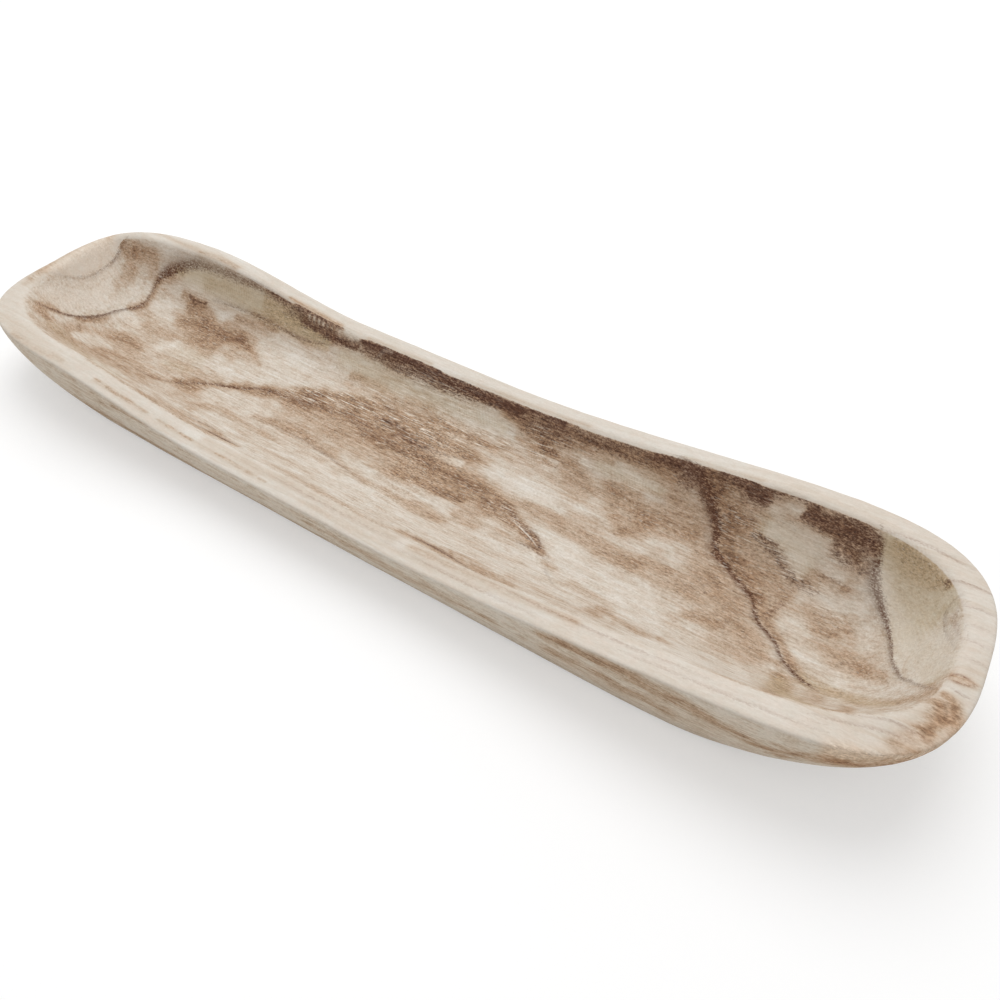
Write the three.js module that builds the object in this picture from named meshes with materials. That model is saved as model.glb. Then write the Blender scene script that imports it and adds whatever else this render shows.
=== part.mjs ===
// A long wooden serving tray, carved from one plank: a boat-like body whose rim rises to both
// ends, over a flat foot, with one long hollow scooped out of the top.
// Millimetres, +Z up. The origin is on the table, under the middle of the tray.
// +X is the near end, -X the far end, +Y the back and -Y the front.
import * as THREE from "three";

// Overall sizes
const trayLength = 700;
const trayWidth = 170;
const waistHeight = 40;

// Sheer: how far the rim climbs at each end, where the climb starts, counted from the middle,
// and the length of level rim left at the tip
const nearRise = 28;
const nearRiseStart = 25;
const nearLevelTip = 14;
const farRise = 16;
const farRiseStart = 102;
const farLevelTip = 97;

// Foot: how far the flat underside stays inside the rim
const footInsetNear = 66;
const footInsetFar = 40;
const footInsetSide = 12.5;
const footEdgeRadius = 3;

// Outer wall: its curve hangs straight down from the rim for this share of the height, then
// turns in to the foot
const wallDropShare = 0.44;

// Rim: width of its top on each side, and the worn edges beside it
const rimWidthNear = 15;
const rimWidthFar = 10;
const rimWidthBack = 14.5;
const rimWidthFront = 17.5;
const outerEdgeRadius = 2.5;
const innerEdgeRadius = 5;

// Hollow: the wood left under its floor, how far its walls lean in on their way down, how far
// the turn from wall to floor runs on, and a shallow dish in the middle of the floor
const floorThickness = 12;
const wallLeanNear = 20;
const wallLeanFar = 26;
const wallLeanBack = 11;
const wallLeanFront = 34;
const floorTurnNear = 30;
const floorTurnFar = 30;
const floorTurnBack = 22;
const floorTurnFront = 18;
const dishDepth = 1.5;
const dishInset = 10;

// Powers of the outlines' curves, all over 2: the higher a power, the squarer that corner.
// One power shapes both ends of every outline, so that all of them line up along the tray.
const endPower = 10;
const rimPowers = { nearBack: 3.0, farBack: 3.0, farFront: 3.3, nearFront: 2.6 };
const footPowers = { nearBack: 4.2, farBack: 3.6, farFront: 3.1, nearFront: 4.2 };
const hollowPowers = { nearBack: 2.9, farBack: 5.5, farFront: 2.3, nearFront: 2.1 };
const floorPowers = { nearBack: 2.5, farBack: 2.7, farFront: 2.3, nearFront: 2.3 };

// Facets: sections along each side, and steps over each stretch of a section
const stationsPerSide = 58;
const wallSteps = 6;
const edgeSteps = 2;
const hollowSteps = 8;

// An outline round the tray: its reach from the middle to each side, and its corners' powers.
function outline(near, far, back, front, powers) {
  return { near, far, back, front, powers };
}

// Another outline, pulled in from the source on each side.
function inset(source, near, far, back, front, powers) {
  return outline(
    source.near - near,
    source.far - far,
    source.back - back,
    source.front - front,
    powers,
  );
}

const halfLength = trayLength / 2;
const halfWidth = trayWidth / 2;
const rimOutline = outline(halfLength, halfLength, halfWidth, halfWidth, rimPowers);
const footOutline = inset(
  rimOutline,
  footInsetNear,
  footInsetFar,
  footInsetSide,
  footInsetSide,
  footPowers,
);
const hollowOutline = inset(
  rimOutline,
  rimWidthNear,
  rimWidthFar,
  rimWidthBack,
  rimWidthFront,
  hollowPowers,
);
const leanOutline = inset(
  hollowOutline,
  wallLeanNear,
  wallLeanFar,
  wallLeanBack,
  wallLeanFront,
  hollowPowers,
);
const floorOutline = inset(
  leanOutline,
  floorTurnNear,
  floorTurnFar,
  floorTurnBack,
  floorTurnFront,
  floorPowers,
);
const dishOutline = inset(floorOutline, dishInset, dishInset, dishInset, dishInset, floorPowers);

function signedPower(value, power) {
  return Math.sign(value) * Math.abs(value) ** power;
}

// A point on an outline: a superellipse whose power changes from corner to corner.
function outlinePoint(shape, angle) {
  const alongX = Math.cos(angle);
  const alongY = Math.sin(angle);
  const endReach = alongX > 0 ? shape.near : shape.far;
  const sideReach = alongY > 0 ? shape.back : shape.front;
  const corner = (alongX > 0 ? "near" : "far") + (alongY > 0 ? "Back" : "Front");
  return new THREE.Vector2(
    endReach * signedPower(alongX, 2 / endPower),
    sideReach * signedPower(alongY, 2 / shape.powers[corner]),
  );
}

// Height of the rim above the table, at a distance along the tray.
function rimHeight(x) {
  const nearClimb = THREE.MathUtils.smoothstep(x, nearRiseStart, halfLength - nearLevelTip);
  const farClimb = THREE.MathUtils.smoothstep(-x, farRiseStart, halfLength - farLevelTip);
  return waistHeight + nearRise * nearClimb + farRise * farClimb;
}

function lift(point, height) {
  return new THREE.Vector3(point.x, point.y, height);
}

function stepTowards(from, to, distance) {
  const direction = to.clone().sub(from).normalize();
  return from.clone().addScaledVector(direction, distance);
}

// A curve in place of the sharp corner between two neighbouring points.
function roundedEdge(before, corner, after, radius) {
  const start = stepTowards(corner, before, radius);
  const end = stepTowards(corner, after, radius);
  return new THREE.QuadraticBezierCurve3(start, corner, end);
}

// One section of the shell, from the edge of the foot up the outer wall, over the rim and down
// the hollow to the dish in its floor.
function sectionAt(angle) {
  const rim = outlinePoint(rimOutline, angle);
  const hollow = outlinePoint(hollowOutline, angle);
  const dish = outlinePoint(dishOutline, angle);
  const foot = lift(outlinePoint(footOutline, angle), 0);
  const rimCorner = lift(rim, rimHeight(rim.x));
  const wallTurn = lift(rim, rimCorner.z * (1 - wallDropShare));
  const hollowCorner = lift(hollow, rimHeight(hollow.x));
  const hollowTurn = lift(outlinePoint(leanOutline, angle), floorThickness);
  const floorEdge = lift(outlinePoint(floorOutline, angle), floorThickness);

  const footEdge = roundedEdge(lift(dish, 0), foot, wallTurn, footEdgeRadius);
  const outerEdge = roundedEdge(wallTurn, rimCorner, hollowCorner, outerEdgeRadius);
  const innerEdge = roundedEdge(rimCorner, hollowCorner, hollowTurn, innerEdgeRadius);
  const outerWall = new THREE.QuadraticBezierCurve3(footEdge.v2, wallTurn, outerEdge.v0);
  const hollowWall = new THREE.QuadraticBezierCurve3(innerEdge.v2, hollowTurn, floorEdge);
  return [
    ...footEdge.getPoints(edgeSteps),
    ...outerWall.getPoints(wallSteps).slice(1),
    ...outerEdge.getPoints(edgeSteps).slice(1),
    ...innerEdge.getPoints(edgeSteps),
    ...hollowWall.getPoints(hollowSteps).slice(1),
    lift(dish, floorThickness - dishDepth),
  ];
}

// Angles that cut the back or the front half of the rim into steps of equal length.
function evenAngles(startAngle, count) {
  const fineSteps = 4000;
  const angles = [];
  let length = 0;
  const lengths = [];
  let last = outlinePoint(rimOutline, startAngle);
  for (let i = 0; i <= fineSteps; i += 1) {
    const angle = startAngle + (Math.PI * i) / fineSteps;
    const point = outlinePoint(rimOutline, angle);
    length += point.distanceTo(last);
    angles.push(angle);
    lengths.push(length);
    last = point;
  }
  const even = [];
  for (let k = 0; k < count; k += 1) {
    const target = (length * k) / count;
    even.push(angles[lengths.findIndex((reached) => reached >= target)]);
  }
  return even;
}

// The sections are joined into bands all round. The foot and the dish are closed by strips that
// run across the tray, from each section to the one that faces it.
function trayGeometry() {
  const angles = [...evenAngles(0, stationsPerSide), ...evenAngles(Math.PI, stationsPerSide)];
  const sections = angles.map(sectionAt);
  const stations = sections.length;
  const levels = sections[0].length;
  const vertex = (station, level) => (station % stations) * levels + level;
  const faces = [];
  const addQuad = (a, b, c, d) => {
    faces.push(a, b, c, a, c, d);
  };
  for (let s = 0; s < stations; s += 1) {
    for (let level = 0; level < levels - 1; level += 1) {
      const next = level + 1;
      addQuad(vertex(s, level), vertex(s + 1, level), vertex(s + 1, next), vertex(s, next));
    }
  }
  const foot = 0;
  const dish = levels - 1;
  for (let s = 1; s < stationsPerSide - 1; s += 1) {
    const facing = stations - s;
    const next = s + 1;
    const facingNext = facing - 1;
    addQuad(
      vertex(s, foot),
      vertex(facing, foot),
      vertex(facingNext, foot),
      vertex(next, foot),
    );
    addQuad(
      vertex(s, dish),
      vertex(next, dish),
      vertex(facingNext, dish),
      vertex(facing, dish),
    );
  }
  const farTip = stationsPerSide;
  faces.push(vertex(0, foot), vertex(stations - 1, foot), vertex(1, foot));
  faces.push(vertex(0, dish), vertex(1, dish), vertex(stations - 1, dish));
  faces.push(vertex(farTip, foot), vertex(farTip - 1, foot), vertex(farTip + 1, foot));
  faces.push(vertex(farTip, dish), vertex(farTip + 1, dish), vertex(farTip - 1, dish));

  const positions = sections.flat().flatMap((point) => [point.x, point.y, point.z]);
  const geometry = new THREE.BufferGeometry();
  geometry.setAttribute("position", new THREE.Float32BufferAttribute(positions, 3));
  geometry.setIndex(faces);
  geometry.computeVertexNormals();
  return geometry;
}

const paleWood = new THREE.MeshStandardMaterial({
  color: 0xcdb9a0,
  roughness: 0.72,
  metalness: 0,
});

const carvedTray = new THREE.Mesh(trayGeometry(), paleWood);
carvedTray.name = "carved_tray";

const tray = new THREE.Group();
tray.add(carvedTray);

export default tray;
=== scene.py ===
"""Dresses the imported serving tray: a dense carved body over its solid, with the wood's figure,
tool marks, floor, light and camera. Sizes are in millimetres until a mesh is written."""

import itertools
import math

import bpy
import numpy as np
from mathutils import Matrix, Vector


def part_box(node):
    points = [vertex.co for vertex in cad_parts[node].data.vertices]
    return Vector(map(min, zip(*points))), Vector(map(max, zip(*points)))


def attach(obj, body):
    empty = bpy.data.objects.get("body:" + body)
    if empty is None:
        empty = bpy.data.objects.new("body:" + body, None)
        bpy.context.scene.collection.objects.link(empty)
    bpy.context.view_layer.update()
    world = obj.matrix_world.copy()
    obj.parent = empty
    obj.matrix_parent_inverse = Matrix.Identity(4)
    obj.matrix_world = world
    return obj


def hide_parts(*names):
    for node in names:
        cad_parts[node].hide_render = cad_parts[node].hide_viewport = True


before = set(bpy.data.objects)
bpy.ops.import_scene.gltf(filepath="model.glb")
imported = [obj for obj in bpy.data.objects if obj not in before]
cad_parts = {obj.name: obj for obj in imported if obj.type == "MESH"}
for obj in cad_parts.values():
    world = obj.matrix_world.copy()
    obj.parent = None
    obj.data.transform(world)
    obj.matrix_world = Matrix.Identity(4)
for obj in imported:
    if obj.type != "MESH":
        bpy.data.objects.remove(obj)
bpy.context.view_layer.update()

MM = 0.001
TRAY_LOW, TRAY_HIGH = (np.array(corner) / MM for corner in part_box("carved_tray"))

# The tray's form: the same outlines and walls as its solid

HALF_LENGTH = TRAY_HIGH[0]
HALF_WIDTH = TRAY_HIGH[1]
WAIST_HEIGHT = 40.0
NEAR_RISE = TRAY_HIGH[2] - WAIST_HEIGHT
NEAR_RISE_START = 25.0
NEAR_LEVEL_TIP = 14.0
FAR_RISE = 16.0
FAR_RISE_START = 102.0
FAR_LEVEL_TIP = 97.0

FOOT_INSET = dict(near=66.0, far=40.0, back=12.5, front=12.5)
RIM_WIDTH = dict(near=15.0, far=10.0, back=14.5, front=17.5)
WALL_LEAN = dict(near=20.0, far=26.0, back=11.0, front=34.0)
FLOOR_TURN = dict(near=30.0, far=30.0, back=22.0, front=18.0)
FLOOR_THICKNESS = 12.0
DISH_DEPTH = 1.5
FOOT_EDGE_RADIUS = 3.0
OUTER_EDGE_RADIUS = 2.5
INNER_EDGE_RADIUS = 5.0
WALL_DROP_SHARE = 0.44

END_POWER = 10.0
RIM_POWERS = dict(near_back=3.0, far_back=3.0, far_front=3.3, near_front=2.6)
FOOT_POWERS = dict(near_back=4.2, far_back=3.6, far_front=3.1, near_front=4.2)
HOLLOW_POWERS = dict(near_back=2.9, far_back=5.5, far_front=2.3, near_front=2.1)
FLOOR_POWERS = dict(near_back=2.5, far_back=2.7, far_front=2.3, near_front=2.3)

# How finely the dense body is cut: stations round the rim, and rows over each stretch
STATIONS = 1140
FOOT_ROWS = 3
FOOT_EDGE_ROWS = 3
WALL_ROWS = 12
OUTER_EDGE_ROWS = 3
RIM_ROWS = 7
INNER_EDGE_ROWS = 4
HOLLOW_ROWS = 38
FLOOR_ROWS = 16
FINE_STEPS = 20000

# How far the rings over the foot and the floor shrink to the line along the middle, and the
# share of that way over which the floor dips into its dish
LAST_RING = 0.96
DISH_SLOPE = 0.55


def signed_power(values, power):
    return np.sign(values) * np.abs(values) ** power


def outline(reach, powers, angles):
    """Points on an outline round the tray: a superellipse whose power changes by corner."""
    along_x, along_y = np.cos(angles), np.sin(angles)
    near, back = along_x > 0, along_y > 0
    power = np.select(
        [near & back, ~near & back, ~near & ~back],
        [powers["near_back"], powers["far_back"], powers["far_front"]],
        powers["near_front"],
    )
    x = np.where(near, reach["near"], reach["far"]) * signed_power(along_x, 2 / END_POWER)
    y = np.where(back, reach["back"], reach["front"]) * signed_power(along_y, 2 / power)
    return np.stack([x, y], axis=1)


def inset(reach, amounts):
    return {side: reach[side] - amounts[side] for side in reach}


def smoothstep(values, start, end):
    t = np.clip((values - start) / (end - start), 0, 1)
    return t * t * (3 - 2 * t)


def rim_height(x):
    near = smoothstep(x, NEAR_RISE_START, HALF_LENGTH - NEAR_LEVEL_TIP)
    far = smoothstep(-x, FAR_RISE_START, HALF_LENGTH - FAR_LEVEL_TIP)
    return WAIST_HEIGHT + NEAR_RISE * near + FAR_RISE * far


def lift(plan, height):
    return np.column_stack([plan, np.broadcast_to(height, len(plan))])


def bezier(start, middle, end, steps):
    t = np.linspace(0, 1, steps + 1)[:, None, None]
    return (1 - t) ** 2 * start + 2 * t * (1 - t) * middle + t * t * end


def towards(start, end, distance):
    step = end - start
    return start + step / np.linalg.norm(step, axis=1, keepdims=True) * distance


def rings_to_spine(plan, rows):
    """Rings that shrink from an outline to the line along its middle, outermost first."""
    middle = (plan[:, 1].max() + plan[:, 1].min()) / 2
    half = (plan[:, 1].max() - plan[:, 1].min()) / 2
    spine_x = np.clip(plan[:, 0], plan[:, 0].min() + half, plan[:, 0].max() - half)
    spine = np.column_stack([spine_x, np.full(len(plan), middle)])
    shares = np.linspace(0, LAST_RING, rows + 1)
    return [(share, plan + (spine - plan) * share) for share in shares]


def even_angles(start, count, rim_reach):
    """Angles that cut the back or the front half of the rim into steps of equal length."""
    fine = np.linspace(start, start + math.pi, FINE_STEPS + 1)
    points = outline(rim_reach, RIM_POWERS, fine)
    length = np.concatenate([[0], np.cumsum(np.linalg.norm(np.diff(points, axis=0), axis=1))])
    return np.interp(np.arange(count) / count * length[-1], length, fine)


def tray_rows():
    """Rows of points round the tray, from the middle of the foot up the outside and down to
    the middle of the hollow, and the name of the stretch that each row lies on."""
    rim_reach = dict(near=HALF_LENGTH, far=HALF_LENGTH, back=HALF_WIDTH, front=HALF_WIDTH)
    hollow_reach = inset(rim_reach, RIM_WIDTH)
    lean_reach = inset(hollow_reach, WALL_LEAN)
    floor_reach = inset(lean_reach, FLOOR_TURN)
    half = STATIONS // 2
    angles = np.concatenate(
        [even_angles(0, half, rim_reach), even_angles(math.pi, half, rim_reach)]
    )
    rim = outline(rim_reach, RIM_POWERS, angles)
    hollow = outline(hollow_reach, HOLLOW_POWERS, angles)
    lean = outline(lean_reach, HOLLOW_POWERS, angles)
    floor = outline(floor_reach, FLOOR_POWERS, angles)
    foot_plan = outline(inset(rim_reach, FOOT_INSET), FOOT_POWERS, angles)

    foot = lift(foot_plan, 0)
    rim_corner = lift(rim, rim_height(rim[:, 0]))
    wall_turn = lift(rim, rim_corner[:, 2] * (1 - WALL_DROP_SHARE))
    hollow_corner = lift(hollow, rim_height(hollow[:, 0]))
    hollow_turn = lift(lean, FLOOR_THICKNESS)
    floor_edge = lift(floor, FLOOR_THICKNESS)

    foot_rings = rings_to_spine(foot_plan, FOOT_ROWS)
    foot_start = towards(foot, lift(foot_rings[1][1], 0), FOOT_EDGE_RADIUS)
    foot_end = towards(foot, wall_turn, FOOT_EDGE_RADIUS)
    outer_start = towards(rim_corner, wall_turn, OUTER_EDGE_RADIUS)
    outer_end = towards(rim_corner, hollow_corner, OUTER_EDGE_RADIUS)
    inner_start = towards(hollow_corner, rim_corner, INNER_EDGE_RADIUS)
    inner_end = towards(hollow_corner, hollow_turn, INNER_EDGE_RADIUS)

    rows, stretches = [], []

    def add(points, stretch):
        rows.extend(points)
        stretches.extend([stretch] * len(points))

    add([lift(plan, 0) for share, plan in reversed(foot_rings[1:])], "foot")
    add(bezier(foot_start, foot, foot_end, FOOT_EDGE_ROWS), "wall")
    add(bezier(foot_end, wall_turn, outer_start, WALL_ROWS)[1:], "wall")
    add(bezier(outer_start, rim_corner, outer_end, OUTER_EDGE_ROWS)[1:], "outer_edge")
    add(bezier(outer_end, (outer_end + inner_start) / 2, inner_start, RIM_ROWS)[1:], "rim")
    add(bezier(inner_start, hollow_corner, inner_end, INNER_EDGE_ROWS)[1:], "inner_edge")
    add(bezier(inner_end, hollow_turn, floor_edge, HOLLOW_ROWS)[1:], "hollow")
    add(
        [
            lift(plan, FLOOR_THICKNESS - DISH_DEPTH * smoothstep(share, 0, DISH_SLOPE))
            for share, plan in rings_to_spine(floor, FLOOR_ROWS)[1:]
        ],
        "hollow",
    )
    return np.array(rows), np.array(stretches)


def row_faces(row_count):
    """Quads between neighbouring rows, and strips that close the foot and the hollow."""
    row = np.arange(row_count - 1)[:, None]
    station = np.arange(STATIONS)[None, :]
    follower = (station + 1) % STATIONS
    here, there = row * STATIONS, (row + 1) * STATIONS
    quads = np.stack(
        [here + station, here + follower, there + follower, there + station], axis=-1
    ).reshape(-1, 4).tolist()
    half = STATIONS // 2
    top = (row_count - 1) * STATIONS
    for s in range(1, half - 1):
        facing = STATIONS - s
        quads.append([s, facing, facing - 1, s + 1])
        quads.append([top + s, top + s + 1, top + facing - 1, top + facing])
    triangles = [
        [0, STATIONS - 1, 1],
        [half, half - 1, half + 1],
        [top, top + 1, top + STATIONS - 1],
        [top + half, top + half + 1, top + half - 1],
    ]
    return quads + triangles


# Noise, and the carver's marks

# Large odd factors that scramble the numbers of a cell, within one 32-bit word
CELL_FACTORS = (374761393, 668265263, 2147483647)
SEED_FACTOR = 1274126177
LAST_FACTOR = 2246822519
WORD = 0xFFFFFFFF


def lattice_value(cells, seed):
    """A steady random number from -1 to 1 for each whole-numbered cell."""
    mixed = ((cells * CELL_FACTORS).sum(axis=-1) + seed * SEED_FACTOR) & WORD
    mixed = ((mixed ^ (mixed >> 13)) * SEED_FACTOR) & WORD
    mixed = ((mixed ^ (mixed >> 16)) * LAST_FACTOR) & WORD
    return (mixed ^ (mixed >> 15)) / (WORD // 2) - 1


def noise(points, size, seed):
    """Smooth noise from -1 to 1. size is a lump's length, width and height."""
    scaled = points / np.asarray(size, float)
    cell = np.floor(scaled).astype(np.int64)
    part = scaled - cell
    ease = part * part * (3 - 2 * part)
    total = 0.0
    for corner in itertools.product((0, 1), repeat=3):
        offset = np.array(corner)
        weight = np.where(offset, ease, 1 - ease).prod(axis=-1)
        total = total + weight * lattice_value(cell + offset, seed)
    return total


def lumps(points, kind):
    """Noise in layers, each one half as coarse and half as strong as the last."""
    size = np.asarray(kind["size"], float)
    total, weight = 0.0, 1.0
    for layer in range(kind["layers"]):
        total = total + weight * noise(points, size / 2**layer, kind["seed"] + layer)
        weight /= 2
    return total / (2 - 2 * weight)


# What the carver's hand leaves on the surface
HAND_WAVE = dict(size=(95, 60, 60), seed=11, layers=2, depth=0.9)
WALL_WAVE = dict(size=(55, 25, 18), seed=23, layers=2, depth=0.5)
SCOOP_WAVE = dict(size=(46, 17, 17), seed=37, layers=2, depth=0.55)
EDGE_NIBBLE = dict(size=(14, 9, 9), seed=41, layers=3, depth=0.55)
FINE_WEAR = dict(size=(7, 3.5, 3.5), seed=53, layers=2, depth=0.12)

# Small gouge nicks across the back wall: place along and across, and how they lie
CHATTER_X = (-147, -142.5, -138, -134, -130, -125.5, -121.5, -118)
CHATTER_FADE = (0.9, 1.0, 1.0, 0.9, 0.6, 0.45, 0.4, 0.3)
CHATTER_Y = 69.2
CHATTER_LENGTH = 0.8
CHATTER_WIDTH = 1.1
CHATTER_DEPTH = 0.35

# A chip torn from the inner edge of the back rim, how ragged it is, and a nick in the outer
# edge of the front rim
RIM_CHIP = dict(start=212, starts_over=6, end=242, ends_over=8, y=68.0, width=2.6, depth=1.3)
CHIP_RAGGED = dict(size=(5, 4, 4), seed=61, share=0.35)
FRONT_NICK = dict(x=10, length=14, depth=1.1)


def grid_normals(rows):
    along = np.roll(rows, -1, axis=1) - np.roll(rows, 1, axis=1)
    up = np.gradient(rows, axis=0)
    normals = np.cross(along, up)
    return normals / np.maximum(np.linalg.norm(normals, axis=2, keepdims=True), 1e-9)


def soften(weights, passes):
    for _ in range(passes):
        padded = np.concatenate([weights[:1], weights, weights[-1:]])
        weights = (padded[:-2] + 2 * padded[1:-1] + padded[2:]) / 4
    return weights


def stretch_weights(stretches, names, passes=3):
    """1 on the named stretches, easing to 0 over the rows beside them."""
    return soften(np.isin(stretches, names).astype(float), passes)[:, None]


def carve(rows, stretches):
    """Moves each point in along its normal, as a hand-carved surface departs from the plan."""
    flat = stretch_weights(stretches, ["foot"], 1)
    wall = stretch_weights(stretches, ["wall"])
    edge = stretch_weights(stretches, ["outer_edge", "inner_edge"])
    hollow = stretch_weights(stretches, ["hollow"])

    def cut(marks):
        return marks["depth"] * (1 + lumps(rows, marks)) / 2

    depth = cut(HAND_WAVE) * (1 + hollow) / 2
    depth += cut(WALL_WAVE) * wall
    scoops = 1 - np.abs(lumps(rows, SCOOP_WAVE))
    depth += SCOOP_WAVE["depth"] * (1 - scoops**2) * hollow
    depth += cut(EDGE_NIBBLE) * edge
    depth += cut(FINE_WEAR)

    x, y = rows[..., 0], rows[..., 1]
    for nick_x, fade in zip(CHATTER_X, CHATTER_FADE):
        nick = ((x - nick_x) / CHATTER_WIDTH) ** 2 + ((y - CHATTER_Y) / CHATTER_LENGTH) ** 2
        depth += CHATTER_DEPTH * fade * np.exp(-nick) * hollow
    start, end = RIM_CHIP["start"], RIM_CHIP["end"]
    chip_x = smoothstep(x, start, start + RIM_CHIP["starts_over"])
    chip_x *= 1 - smoothstep(x, end - RIM_CHIP["ends_over"], end)
    chip_y = np.exp(-(((y - RIM_CHIP["y"]) / RIM_CHIP["width"]) ** 2))
    share = CHIP_RAGGED["share"]
    ragged = 1 - share + share * noise(rows, CHIP_RAGGED["size"], CHIP_RAGGED["seed"])
    depth += RIM_CHIP["depth"] * chip_x * chip_y * ragged
    nick = np.exp(-(((x - FRONT_NICK["x"]) / FRONT_NICK["length"]) ** 4)) * (y < 0)
    depth += FRONT_NICK["depth"] * nick * stretch_weights(stretches, ["outer_edge"], 2)

    depth = depth * (1 - flat)
    carved = rows - grid_normals(rows) * depth[..., None]
    return np.clip(carved, TRAY_LOW, TRAY_HIGH)


# The wood's figure

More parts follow.
